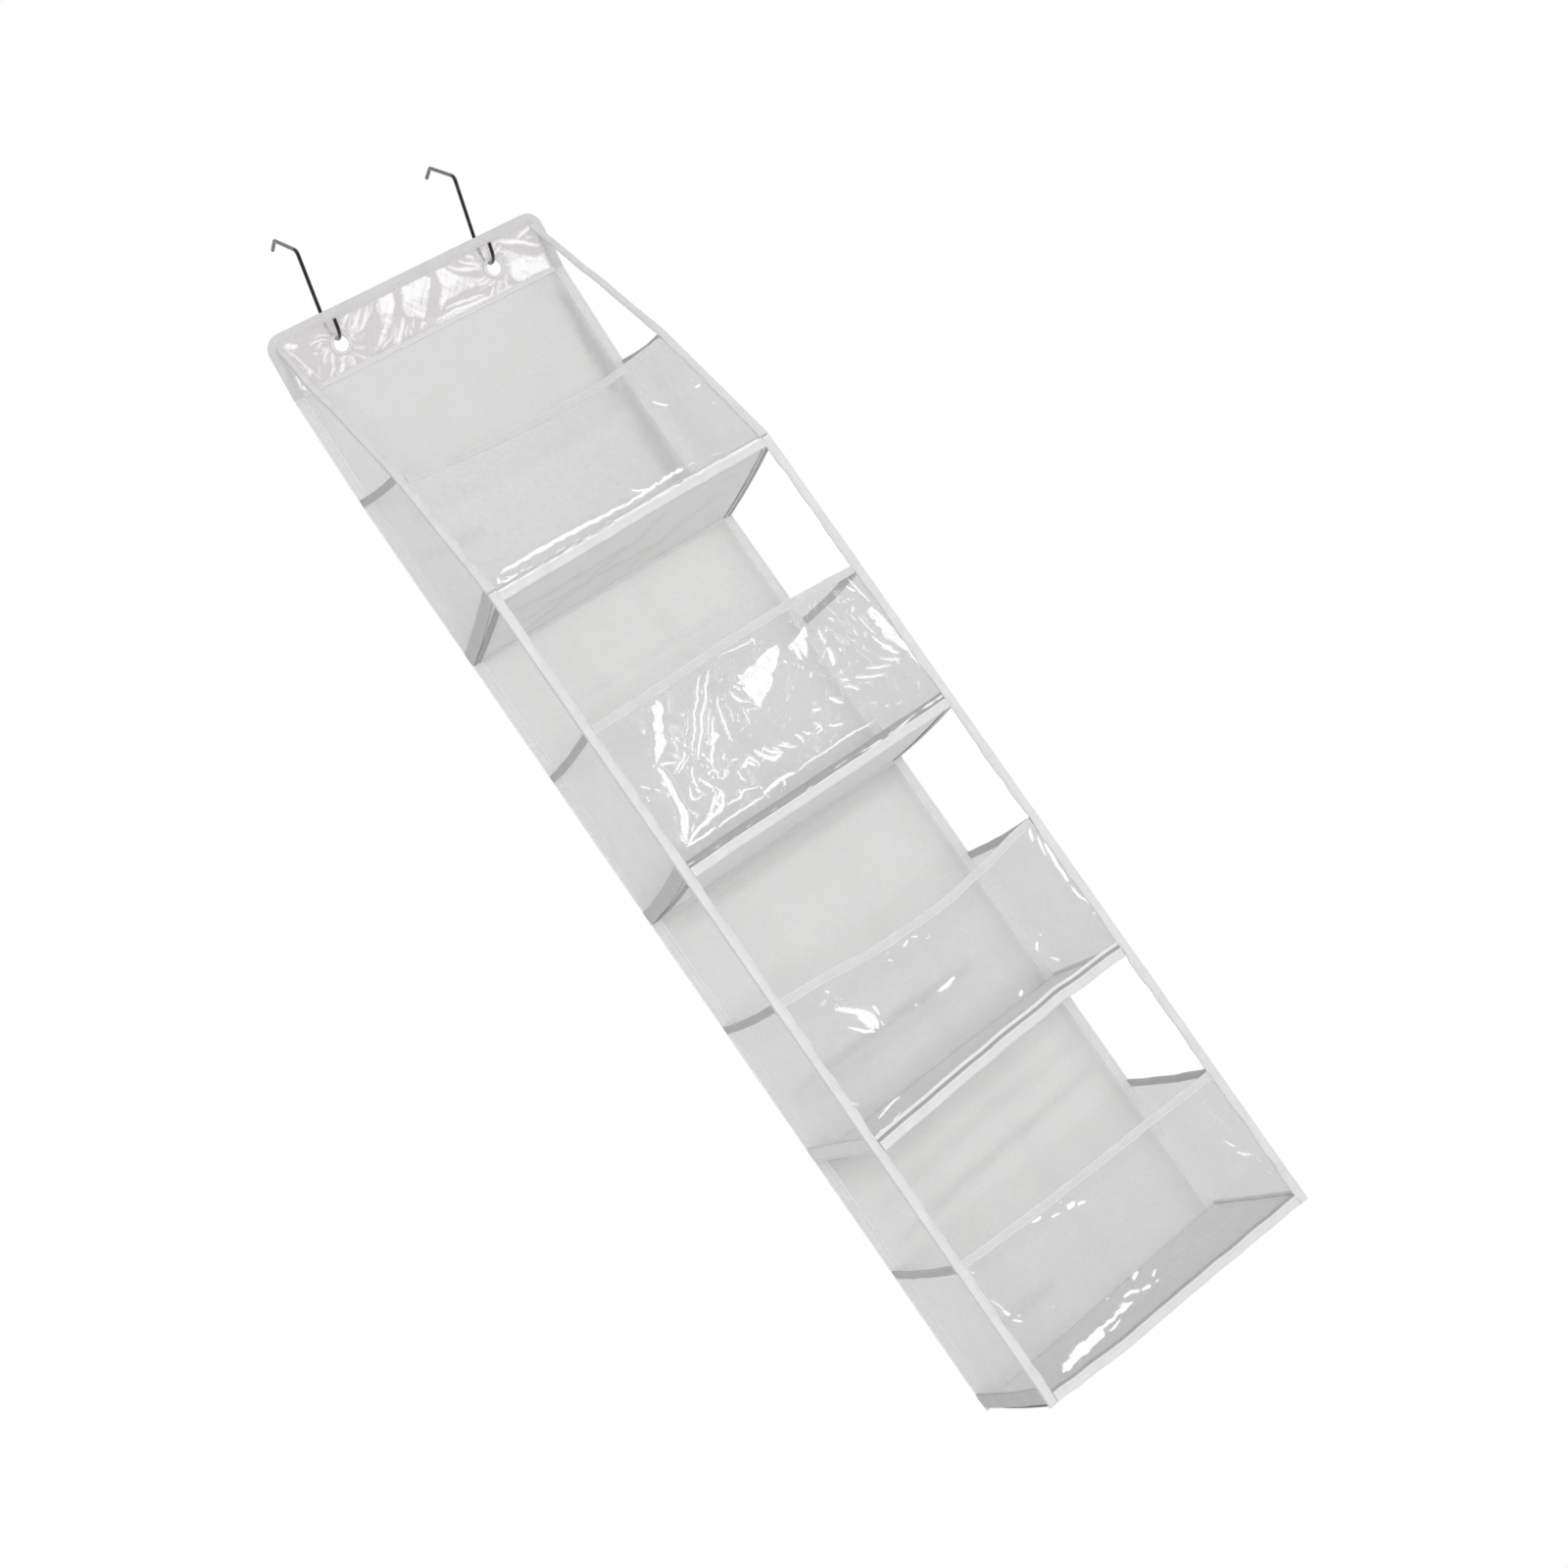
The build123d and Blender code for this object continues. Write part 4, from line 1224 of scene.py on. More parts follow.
# ---------------------------------------------------------------- pocket fronts
# Folds in each pocket's front film.
# Width, height, white (painted highlight), width of the white: x,z above the floor
FRONT_FOLDS = {1: """
2.6 1.4 1 2.3: -147,26 -120,26.5 -91,26.5 -60,26 -32,24.5 2,23.5
2 .9 .95 1.5: -152,17 -148,24
2 1 .95 1.7: 14,34 20,28 30,25
2 .9 .95 1.7: -6,23.4 2,23 8,23.6 22,24 30,25 42,27
1.5 .6 .9 1.3: 33,23.5 40,29
1.5 .6 .95 1.4: 42,23.5 49,28 56,26 61,29.5
1.5 .6 .95 1.5: 62,25 66,28.5 71,26
1.8 .8 .9 1.4: -150,20 -141,14 -130,18
1.4 .6 .6 1.1: -128,20 -122,17
1.4 .6 .9 1.1: 38,24 46,27
1.5 .6 .95 1.5: 46,25 58,26.5
1.5 .6 .95 1.4: 57,28 66,26 72,27
1.4 .5 .6 1.1: 76,27 88,26
1.2 .4 .45 1: 98,24 118,22
1.4 .7 .7 1.2: -142,19 -135,16
1.6 .5 1 1.3: -152,14.4 -100,15.2 -20,15 60,14.6 156,14.2
1.6 .7 .85 1.5: 98,106 102,99 107,92
1.5 .6 .8 1.8: 142,96 150,96
1.4 .5 .5 1.6: 146,105 148,104
1.4 .5 .75 1.8: 146,72 148,72
1.2 .5 .3 1: -117,130 -119,112
1.2 .4 .25 1: 6,48 10,38
""", 2: """
4 2.8 1 2.7: -127,111 -126,96 -128,80 -131,64 -138,51 -145,36
3 1.6 .9 1.4: -90,164 -100,148 -112,128 -127,111
1.6 1 .95 1.05: -38,163 -50,150 -62,137 -75,121 -91,101
1.7 1.1 .98 1.25: -28,162 -42,147 -58,130 -72,114 -89,95
1.5 .8 .6 .95: -47,132 -61,118 -71,103
1.5 .8 .5 .95: -66,143 -78,128 -91,111
1.6 .9 .85 1.2: -35,137 -44,124 -47,107 -51,89
1.7 1 .9 1.25: -52,122 -62,109 -68,98 -78,90 -83,77
1.5 .8 .8 1.1: -25,135 -22,122 -11,111
1.4 .6 .6 1: -18,136 -12,127
1.3 .6 .55 .95: -33,121 -38,106
1.3 .6 .5 .95: -29,113 -34,104
1.4 .7 .7 1.05: -22,113 -25,96
1.3 .6 .55 1: -19,108 -9,104
1.2 .5 .55 1: -31,99 -38,95
1.2 .5 .45 1.1: -5,96 3,101
1.6 .8 .85 1.3: -125,110 -113,108 -106,102
1.6 .8 .85 1.25: -93,109 -104,101 -116,95
1.4 .7 .7 1.05: -93,103 -112,93
1.3 .6 .6 1: -97,125 -99,116 -104,108
1.3 .6 .45 1: -94,128 -92,117
1.6 .9 .85 1.2: -96,93 -103,85 -106,73
1.2 .5 .55 .95: -88,94 -90,84
1.5 .8 .75 1.1: -110,80 -116,70 -113,63 -103,66
1.3 .6 .6 1: -107,74 -104,66
1.6 .8 .8 1.3: -98,81 -95,73 -91,66 -96,61
1.4 .7 .8 1.15: -87,80 -80,76 -83,70
1.4 .6 .8 1.25: -79,67 -71,74
1.3 .5 .7 1.3: -68,83 -63,87
1.3 .5 .7 1.2: -63,77 -56,74
1.3 .6 .6 1: -126,61 -120,53 -125,49
2 1.2 .95 1.7: -146,34 -135,39 -118,42 -104,44 -92,48 -88,57 -90,67
1.5 .8 .8 1.1: -118,42 -106,50 -95,59
1.5 .8 .8 1.1: -112,44 -99,54 -91,62
1.3 .6 .7 1.1: -136,40 -128,47
1.4 .7 .85 1.15: -92,46 -76,43 -70,48 -62,44 -51,43
1.3 .6 .7 1.1: -76,41 -72,51
1.4 .6 .7 1.15: -61,66 -65,58 -61,52
1.5 .8 .95 1.35: -59,65 -52,69 -45,60
1.5 .8 .9 1.3: -56,63 -47,73 -43,61
1.4 .7 .7 1.1: -47,76 -43,66 -42,57
1.5 .8 .95 1.35: -38,75 -34,66 -28,59
1.3 .6 .75 1.15: -35,66 -26,73
1.5 .8 .95 1.45: -29,71 -24,62 -15,56
1.3 .6 .8 1.2: -22,67 -17,60
1.4 .7 .85 1.15: -17,66 -8,60 1,54
1.5 .7 .95 1.5: -31,60 -18,55
1.3 .6 .7 1.1: -12,65 -3,60
1.4 .6 .75 1.2: 5,65 9,58 7,53
1.3 .6 .75 1.1: 13,63 21,56
1.4 .6 .75 1.15: 30,65 32,57 33,52
1.3 .5 .65 1.1: 24,54 34,54
1.4 .7 .9 1.3: 39,54 45,50 53,47
1.5 .7 .9 1.4: 33,75 44,71
1.6 .8 .95 1.6: 56,76 60,70 66,64
1.4 .6 .8 1.2: 77,85 85,79
1.5 .7 .9 1.4: 77,78 84,73 89,67
1.5 .8 .9 1.2: 91,79 105,72 120,65
1.5 .8 .9 1.2: 106,81 120,74 132,69
1.4 .7 .8 1.15: 124,83 134,76 145,69
1.3 .5 .6 1: 132,74 143,72
1.3 .5 .55 1.1: 96,71 104,65
1.4 .6 .38 1.8: 64,91 82,90 102,91
1.3 .5 .6 1.1: 83,95 82,87
1.7 .9 .9 1.5: 132,105 136,92 141,82 147,75
1.5 .7 .75 1.15: 134,129 133,112 139,102
1.4 .6 .75 1.3: 129,133 136,139
1.4 .6 .6 1.2: 121,123 120,111
1.4 .7 .7 1.3: 140,159 147,148
1.3 .5 .5 1: 132,150 140,142
1.4 .5 .6 1.5: 97,111 96,106
1.4 .5 .6 1.4: 95,135 94,130
1.4 .6 .6 1.2: 106,143 110,135
1.5 .6 .75 1.4: 52,100 58,107
1.3 .4 .5 1.4: 29,103 33,104
1.4 .6 .85 1.3: 137,91 144,83
1.3 .5 .6 1.1: 141,79 140,64
1.4 .6 .65 1.2: -152,104 -143,95
1.4 .5 .6 1.3: -152,93 -153,84
1.5 .7 .7 1.15: -13,167 2,164 16,163 27,162
1.3 .5 .7 1.1: 24,165 27,160
1.3 .4 .45 1.3: 29,158 33,156
2 1 .6 1.9: 88,139 86,122
2.2 1.2 .95 2.3: 86,118 84,108 79,100
1.6 .8 .75 1.4: 147,165 150,150 152,132
1.6 .8 .85 1.4: 154,70 159,52 162,38
1.7 .9 .9 1.35: -148,34 -130,33 -111,33
1.7 .9 .9 1.35: -113,31.5 -95,33 -70,33 -54,32
2.4 1.2 1 2: -56,33 -42,36 -28,37 -16,35
1.5 .8 .75 1.2: -18,34 0,36.5 20,35 46,37 66,34 85,32
1.3 .5 .45 1.1: 0,43 6,38
1.5 .5 .85 1.3: 2,15.5 20,17 36,16
1.5 .6 .95 1.5: 46,16 60,20 68,16
1.4 .5 .8 1.2: 71,15 76,21
1.5 .6 .9 1.4: 79,14 86,20 94,17
1.3 .4 .5 1.2: 100,40 105,38
1.3 .4 .5 1.1: 110,36 119,34
1.3 .5 .3 1.2: -10,86 32,85
1.2 -.5 0: 62,134 64,122
""", 3: """
2.6 1.6 1 2.6: -118,118 -110,110 -100,103 -93,93 -92,86 -98,80
2 1.2 .98 2.2: -104,100 -101,90 -99,82
1.6 .9 .9 1.3: -118,96 -110,87 -99,79
1.5 .8 .8 1.4: -86,100 -85,88
1.4 .6 .7 1.1: -88,85 -87,78
1.4 .5 .75 1.7: -117,136 -114,132
1.3 .4 .45 1.3: -127,127 -119,129
1.3 .4 .45 1.2: -113,124 -106,120
1.4 .5 .6 1.2: -50,126 -44,121
1.3 .4 .45 1.3: -47,132 -41,131
1.6 .7 .9 1.5: -28,127 -20,129
1.4 .6 .75 1.2: -16,130 -8,125
1.3 .4 .5 1.1: -6,121 1,118 2,124
2.2 1 1 2.2: -25,73 -15,74 -3,76
1.4 .4 .75 1.7: -52,76 -49,76
1.3 .3 .4 1.4: -44,75 -40,75
1.8 .8 1 2.7: 43,28 45,25
1.3 .4 .4 1.5: -138,85 -135,85
1.8 1 .95 1.7: 154,150 150,142 146,134
1.8 1 .85 1.5: 156,138 152,126 148,116
2.2 1.2 1 2.3: 158,128 155,112 154,96 153,82
1.6 .8 .85 1.5: 153,80 154,68 158,58 160,50
1.3 .4 .6 1.5: 156,46 159,43
1.6 .7 .9 1.6: 84,48 89,55
1.3 .4 .55 1.5: 95,60 97,57
1.4 .5 .7 1.2: 91,37 98,28
1.2 .4 .35 1.1: 76,38 82,43
1.4 .5 .6 1.2: -158,42 -152,35
1.6 .8 .75 1.4: -146,14 -128,18 -114,20
1.2 .3 .35 1.2: -96,25 -91,25
1.2 .3 .3 1.3: -81,56 -79,56
1.3 .4 .6 1.1: -158,4 -150,3 -140,5
1.3 .4 .6 1: -136,4 -122,6
""", 4: """
1.6 .7 .9 1.5: -81,142 -69,141
1.6 .7 .8 1.4: -62,134 -51,132
1.4 .4 .55 1.3: -47,140 -42,139
2.2 1 1 2.4: -43,132 -33,131
1.6 .7 .85 1.6: -33,127 -24,125
1.5 .8 .6 1.1: -156,118 -152,101 -147,89
1.6 .7 .9 1.6: -151,98 -147,91
1.4 .6 .85 1.3: -149,86 -141,79
1.3 .4 .55 1.3: -142,88 -139,84
1.4 .6 .8 1.3: -79,22 -68,21 -61,23
1.9 .9 .98 1.9: -48,35 -38,35 -30,31
1.8 .8 .9 1.6: -29,31 -19,28
1.4 .5 .65 1.2: -14,26 -8,27
1.6 .7 .85 1.5: -12,32 -4,37
1.8 .8 .95 1.9: -31,43 -20,45
1.3 .4 .35 1.3: -44,45 -35,44
1.3 .3 .35 1.4: 26,26 28,29
1.3 .3 .35 1.4: 37,27 38,30
1.3 .4 .4 1.4: -112,71 -107,72
2.6 -1.4 0: -85,54 -72,48 -59,45
3.4 1.4 .33 4.2: 136,127 135,112 140,100 145,82
1.5 .8 .6 1.2: 129,87 138,71
1.5 .8 .75 1.3: 133,70 145,57
1.3 .5 .45 1.1: 147,62 149,44
1.3 .5 .45 1.1: 149,39 153,27
1.3 .4 .5 1.3: -155,144 -153,138
"""}
# Flat patches of painted highlight in the front films. Height, white, softness of the edge: x,z
# above the floor.
# A line is one patch; the long ones are joined by a backslash.
FRONT_PATCHES = {2: """
2.4 1 .9: -90,164 -88,155 -97,142 -105,125 -111,119 -127,112 -118,124 -107,143 -97,158
2 1 .9: -9,142 -2,140 16,143 34,147 44,146 44,141 34,133 20,122 10,114 2,112 -8,105 -11,112 \
-8,124 -10,135
1.6 .95 .8: 54,140 60,140 77,147 77,144 69,133 63,120 60,132 56,120 53,124
1.8 1 .9: 145,128 151,128 155,112 157,86 161,60 158,46 155,64 150,84 144,98 146,114
1.2 .6 .9: -120,40 -100,43 -88,49 -88,61 -97,55 -108,48
1 .75 .8: -66,99 -58,101 -58,107 -63,110 -69,103
1 .8 .9: -34,66 -26,60 -18,56 -26,54 -36,61
.8 .9 .9: 134,92 141,84 146,76 142,80 136,86
""", 3: """
1.2 .8 .9: -106,104 -98,103 -92,92 -93,86 -101,82 -101,92 -104,98
""", 4: """
2 .95 .8: -141,20 -134,26 -120,28 -113,32 -104,30 -90,31 -78,29 -66,29 -58,31 -52,33 -44,29 \
-40,27 -48,26 -60,27 -72,26 -82,27 -84,21 -100,20 -118,21 -130,19
"""}
CRUMPLE = {1: 0.1, 2: 0.75, 3: 0.25, 4: 0.22}      # how crumpled each front film is


def glints(relief, u, v, share, seed, way):
    """The steepest flanks that face way, in patches, where a painted highlight makes the film flash
    white.
    """
    slope_u = np.gradient(relief, axis=1) / np.maximum(np.gradient(u, axis=1), 1e-6)
    slope_v = np.gradient(relief, axis=0) / np.maximum(np.gradient(v, axis=0), 1e-6)
    slope = way[0] * slope_u + way[1] * slope_v
    slope = slope * (0.35 + smoothstep(-0.6, 1.0, Waves(seed, 5, 40, 130)(u, v)))
    steep = np.quantile(slope, 1 - share)
    return smoothstep(steep * 0.82, steep * 1.1, slope) * 0.9


def front_relief(pocket, x, v, z, top):
    """Height and painted highlight of a front film; v is the height above the floor."""
    number = pocket.number
    crumple = CRUMPLE[number]
    strokes = read_shapes(FRONT_FOLDS[number])
    if number == 2:
        strokes += random_folds(900 + number, 82, (-150, 150),
                                (12, pocket.rim_z - pocket.floor_z - 14), lean=1.0,
                                height=(0.2, 0.9), white=(-0.6, 0.42 * crumple))
    relief, white = fold_relief(strokes, x, v, 50 + number, 0.45)
    bent_x = x + 0.5 * Waves(61 + number, 6, 7, 22)(x, v)
    bent_v = v + 0.5 * Waves(66 + number, 6, 7, 22)(v, x)
    patches = read_shapes(FRONT_PATCHES.get(number, ""))
    raised, pale = patch_relief(patches, bent_x, bent_v)
    fine = Waves(69 + number, 8, 4, 14)(0.8 * x + 0.6 * v, 0.35 * (v - x))
    steady, broken = (0.5, 0.5) if number == 2 else (0.8, 0.2)
    white = np.maximum(white, pale * (steady + broken * smoothstep(-1.0, 0.5, fine)))
    swell = (0.12 if number == 1 else 0.25) + 0.6 * crumple
    relief = (relief + raised + swell * Waves(200 + number, 8, 80, 240)(x, v)
              + ridges(300 + number, x, v, 6, 14, 44) * 0.8 * crumple ** 2)
    loose = (smoothstep(0, 16, TAPE_IN + 1 - np.abs(x)) * smoothstep(6, 20, v - rise(number, x))
             * smoothstep(-2, 22, top - z))
    relief = np.clip(relief - 0.3, -3.0, 4.2) * loose
    if number == 2:
        flashes = glints(relief, x, z, share=0.009, seed=400 + number, way=(-0.75, 0.66))
        white = np.maximum(white, 0.8 * flashes)
    white = (white * smoothstep(0.5, 1.6, v - rise(number, x)) * smoothstep(5, 9, top - z)
             * smoothstep(0, 4, TAPE_IN + 8 - np.abs(x)))
    return relief, white


def front_film(pocket):
    number = pocket.number
    columns, rows = (330, 168) if number == 2 else (270, 132)
    half = FILM_HALF - 0.6
    x, t = np.meshgrid(np.linspace(-half, half, columns), np.linspace(0, 1, rows))
    low = pocket.floor_z - 3.0 + rise(number, x)
    top = pocket.rim_z - 1.6 + sag(number, x)
    z = low + (top - low) * t
    y, out = -DEPTH + 0.25, np.array((0.0, -1.0, 0.0))
    if number == 1:
        y, inset = top_front(z)
        y, out = y + 0.25, LEAN_OUT
        x = x * (1 - inset / FILM_HALF)
    v = z - pocket.floor_z
    relief, white = front_relief(pocket, x, v, z, top)
    piece = Piece()
    piece.shell(points_of(x, y, z) + out * relief[..., None], 0.42, np.stack([x, v], -1), white)
    made = piece.build(f"pocket_{number}_front_vinyl", [TOP_FILM if number == 1 else FILM], 60)
    place(made, "back" if number == 1 else "front_frame", [f"pocket_{number}_front_film"],
          "clear_film")
    if number == 1:
        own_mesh(made)


def front_rim_tape(pocket):
    number = pocket.number
    xs = np.linspace(-FRONT_TAPE_HALF, FRONT_TAPE_HALF, 108)
    z = pocket.rim_z - 4.1 + sag(number, xs)
    y, up, body = -DEPTH + 0.25, (0, 0, 1), "front_frame"
    if number == 1:
        y, inset = top_front(z)
        y, up, body = y + 0.25, LEAN_UP, "back"
        xs = xs * (1 - inset / FILM_HALF)
    made = tape_strip(f"pocket_{number}_front_rim_tape", points_of(xs, y, z), up, 8.4, -1.0, 1.0,
                      body, [f"pocket_{number}_front_rim"], seed=100 + number, wave=0.22,
                      both_faces=True)
    if number == 1:
        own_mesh(made)


# Parts of a pocket's front lower tape: sections as (up, forward)
LOWER_TAPE = (
    [(1.0, 0.16), (1.0, 1.7), (0.7, 2.1)]
    + [(a, 2.3 - 0.3 * groove_at(a, -1.2)) for a in np.linspace(0.2, -6.2, 9)]
    + [(-7.2, 2.1), (-7.8, 1.5), (-8.0, 0.6)] + [(-8.0, b) for b in np.linspace(-0.4, -2.8, 4)]
    + [(-7.8, -3.3), (-7.4, -3.4)] + [(a, -3.4) for a in np.linspace(-6.6, -4.2, 3)]
    + [(-3.4, -3.3), (-3.15, -3.0)] + [(-3.15, b) for b in np.linspace(-2.2, 0.0, 3)]
    + [(a, 0.14) for a in np.linspace(-2.4, 0.4, 5)])
TOP_ROLL = [(1.75, 0.3), (1.75, 2.2), (1.35, 2.65), (0.6, 2.7), (0.1, 2.35), (0.1, 1.9),
            (0.9, 1.8), (1.05, 1.6), (1.05, 0.3)]
# painted shadow line above pocket 1's lower tape
SOFT_SHADOW_LINE = [(5.6, 0.2), (5.6, 0.6), (4.6, 0.8), (3.7, 0.6), (3.7, 0.2)]
# painted highlight line above pocket 3's painted shadow band
PAINTED_HIGHLIGHT_LINE = [(8.2, 0.25), (8.2, 0.6), (7.6, 0.9), (5.6, 0.9), (4.9, 0.6), (4.9, 0.25)]
SHADOW_BAND_TOP = {2: 9.0, 3: 4.6, 4: 3.9}            # top of the painted shadow band above the tape
GLEAM_SHAPE = ((1, -0.3), (0.8, 0.05), (0, 0.16), (-0.8, 0.05), (-1, -0.3))


def gleam_section(number, x, run):
    """Ragged painted highlight line: on the top roll of pocket 1, over the painted shadow band of
    pocket 2.
    """
    ragged = 0.5 * waves_along(run, 170 + number, 8, 7, 24)
    if number == 1:
        wide = np.clip(ragged + 0.15 + 0.75 * smoothstep(-50, -90, x)
                       + 1.0 * smoothstep(118, 136, x), 0.07, 1.25)
        middle, out = 1.25 + 0.35 * waves_along(run, 175, 5, 20, 60), 2.75
    else:
        wide = np.clip(ragged - 0.25 + 1.0 * smoothstep(20, 75, x), 0.07, 1.3)
        middle = 3.6 + 0.7 * waves_along(run, 176, 5, 24, 70) + 1.6 * smoothstep(90, 160, x)
        out = 1.15
    return np.stack([np.stack([middle + wide * k, 0 * run + out + b], -1)
                     for k, b in GLEAM_SHAPE], 1)


def front_lower_tape(pocket):
    """Tape folded under the front edge of the floor, with its stitches, a painted shadow line and
    painted highlight lines.
    """
    number = pocket.number
    xs = np.linspace(-FRONT_TAPE_HALF, FRONT_TAPE_HALF, 108)
    path = points_of(xs, -DEPTH, pocket.floor_z + rise(number, xs))
    side, normal = frames(path, (0, 0, 1))
    path = ripple(path, side, 130 + number, 0.25, 20, 70)
    run = run_lengths(path)
    section = np.repeat(np.array(LOWER_TAPE)[None], len(path), 0)
    wave = (0.16 * waves_along(run, 140 + number, 6, 7, 30))[:, None]
    section[..., 1] = np.where(section[..., 1] > 0.5, section[..., 1] + wave, section[..., 1])
    materials = [STRAP_TAPE, THREAD, PAINTED_SHADOW_TAPE, PAINTED_LIGHT_TAPE, GLEAM, SOFT_SHADOW_TAPE]
    piece = Piece()

    def line(shape, material):
        piece.band(path, side, normal, shape, materials.index(material))

    line(section, STRAP_TAPE)
    stitches(piece, path, side, normal, -1.2, 2.12, 150 + number)
    if number == 1:
        line(SOFT_SHADOW_LINE, SOFT_SHADOW_TAPE)
    else:
        top = SHADOW_BAND_TOP[number]
        line([(top, 0.25), (top, 0.6), (top - 0.4, 0.95), (top * 0.6, 1.1), (1.4, 1.0),
              (1.05, 0.7), (1.05, 0.25)], PAINTED_SHADOW_TAPE)
    if number == 3:
        line(PAINTED_HIGHLIGHT_LINE, PAINTED_LIGHT_TAPE)
    line(TOP_ROLL, PAINTED_LIGHT_TAPE)
    if number < 3:
        line(gleam_section(number, path[:, 0], run), GLEAM)
    place(piece.build(f"pocket_{number}_front_lower_tape", materials), "front_frame",
          [f"pocket_{number}_front_bottom_binding"])


# ---------------------------------------------------------------- pocket sides
REAR_Y = -2.2                                  # rear end of the side films
# Folds with painted highlights in the right side films. Width, height, white, width of the white:
# y,z above the floor
RIGHT_SIDE_FOLDS = {1: """
1.3 .5 .5 1.2: -146,70 -144,60
""", 2: """
1.3 .6 .5 1.2: -60,120 -66,104
1.3 .6 .5 1.2: -70,60 -86,52
1.3 .6 .5 1.2: -120,40 -126,60
""", 3: """
1.3 .6 .5 1.2: -20,60 -26,40
"""}


def rim_line(pocket, side, t):
    """y and z of the top of a side: t is 0 at the panel and 1 at the front."""
    if pocket.number == 1:
        rear_z, front_z = pocket.rear_z + 4.0, pocket.rim_z + 1.5
        front_y = top_front(front_z)[0] + 0.9
    else:
        rear_z = pocket.rear_z
        front_z = pocket.rim_z + sag(pocket.number, side * CORNER_X)
        front_y = -DEPTH + 0.9
    y = REAR_Y + (front_y - REAR_Y) * t
    return y, rear_z + (front_z - rear_z) * t - 2.0 * np.sin(np.pi * t)


def side_film(pocket, side, side_name):
    number = pocket.number
    s, t = np.meshgrid(np.linspace(0, 1, 84), np.linspace(0, 1, 84))
    top = rim_line(pocket, side, s)[1]
    low_y = REAR_Y + (-DEPTH + 0.9 - REAR_Y) * s
    low = pocket.floor_z - 3.0 + edge_lift(number, side * CORNER_X, low_y)
    z = low + (top - 1.4 - low) * t
    front = (top_front(z)[0] if number == 1 else 0 * z - DEPTH) + 0.9
    y = REAR_Y + (front - REAR_Y) * s
    v = z - pocket.floor_z
    loose = (smoothstep(0, 16, REAR_Y - y) * smoothstep(0, 16, y - front - 8)
             * smoothstep(10, 26, v) * smoothstep(0, 20, top - 8 - z))
    strokes = read_shapes(RIGHT_SIDE_FOLDS.get(number, "") if side > 0 else "")
    strokes += random_folds(1200 + 10 * number + side, 8 if number == 1 else 16, (-160, -10),
                            (18, 150), lean=1.3, height=(0.2, 0.6), white=(-1.0, 0.1))
    relief, white = fold_relief(strokes, y, v, 80 + number)
    relief = (relief + 0.5 * Waves(500 + 10 * number + side, 7, 60, 180)(y, v)
              + 0.2 * ridges(600 + 10 * number + side, y, v, 5, 16, 44))
    relief = np.clip(relief, -2.6, 1.6) * loose
    x = side * (FILM_HALF - 0.25)
    if number == 1:
        x = x - side * top_front(z)[1] * s
    grid = points_of(x + side * relief, y, z)
    order = slice(None, None, -side)           # the right side is reversed, to face outward
    piece = Piece()
    piece.shell(grid[:, order], 0.42, np.stack([y, v], -1)[:, order], (white * loose)[:, order])
    made = piece.build(f"pocket_{number}_side_vinyl_{side_name}", [SIDE_FILM], 60)
    place(made, "back", [f"pocket_{number}_side_film_{side_name}"], "clear_film")
    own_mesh(made)


def side_rim_tape(pocket, side, side_name):
    number = pocket.number
    t = np.linspace(0, 1, 54)
    y, z = rim_line(pocket, side, t)
    x = side * (FILM_HALF - 0.25)
    if number == 1:
        x = x - side * top_front(z)[1] * t
    made = tape_strip(f"pocket_{number}_side_rim_tape_{side_name}", points_of(x, y, z - 4.2),
                      (0, 0, 1), 8.2, -1.05, 1.05, "back",
                      [f"pocket_{number}_side_rim_{side_name}"], seed=160 + 10 * number + side,
                      wave=0.15, both_faces=True, material=SHADED_SIDE_TAPE)
    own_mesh(made)


def side_lower_tape(pocket, side, side_name, ys):
    number = pocket.number
    width, middle = (9.0, -1.6) if side > 0 and number > 2 else (15.0, 4.5)
    path = points_of(side * (FILM_HALF + 0.8), ys,
                     pocket.floor_z + middle + edge_lift(number, side * CORNER_X, ys))
    # left lower tapes take the darker copy (painted shade), the others the lighter copy (painted
    # light)
    made = tape_strip(f"pocket_{number}_side_lower_tape_{side_name}", path, (0, 0, 1), width,
                      -0.75, 0.75, "back", [f"pocket_{number}_side_bottom_binding_{side_name}"],
                      seed=220 + 10 * number + side, wave=0.12, both_faces=True,
                      material=SHADED_LOW_TAPE if side < 0 and number != 3 else PAINTED_LIGHT_TAPE)
    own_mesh(made)


def under_tape(pocket, side, side_name, ys):
    """The side's lower tape turned in under the floor's edge."""
    number = pocket.number
    z = pocket.floor_z - pocket.board - 0.55 + board_lift(number, side * 160.0, ys)
    path = points_of(side * (FILM_HALF - 4.6), ys, z)
    across, up = frames(path, (1, 0, 0))
    piece = Piece()
    # the main band takes the dark tape: painted shade under the floor
    piece.band(path, across, -up, tape_section(9.0, 0.5, -0.3, [side * 0.5]), 2)
    piece.band(path, across, -up, tape_section(1.5, 0.9, 0.3) + np.array((-side * 4.4, 0)), 0)
    made = piece.build(f"pocket_{number}_under_tape_{side_name}", [PAINTED_LIGHT_TAPE, THREAD, PAINTED_SHADOW_TAPE])
    place(made, "back")
    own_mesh(made)


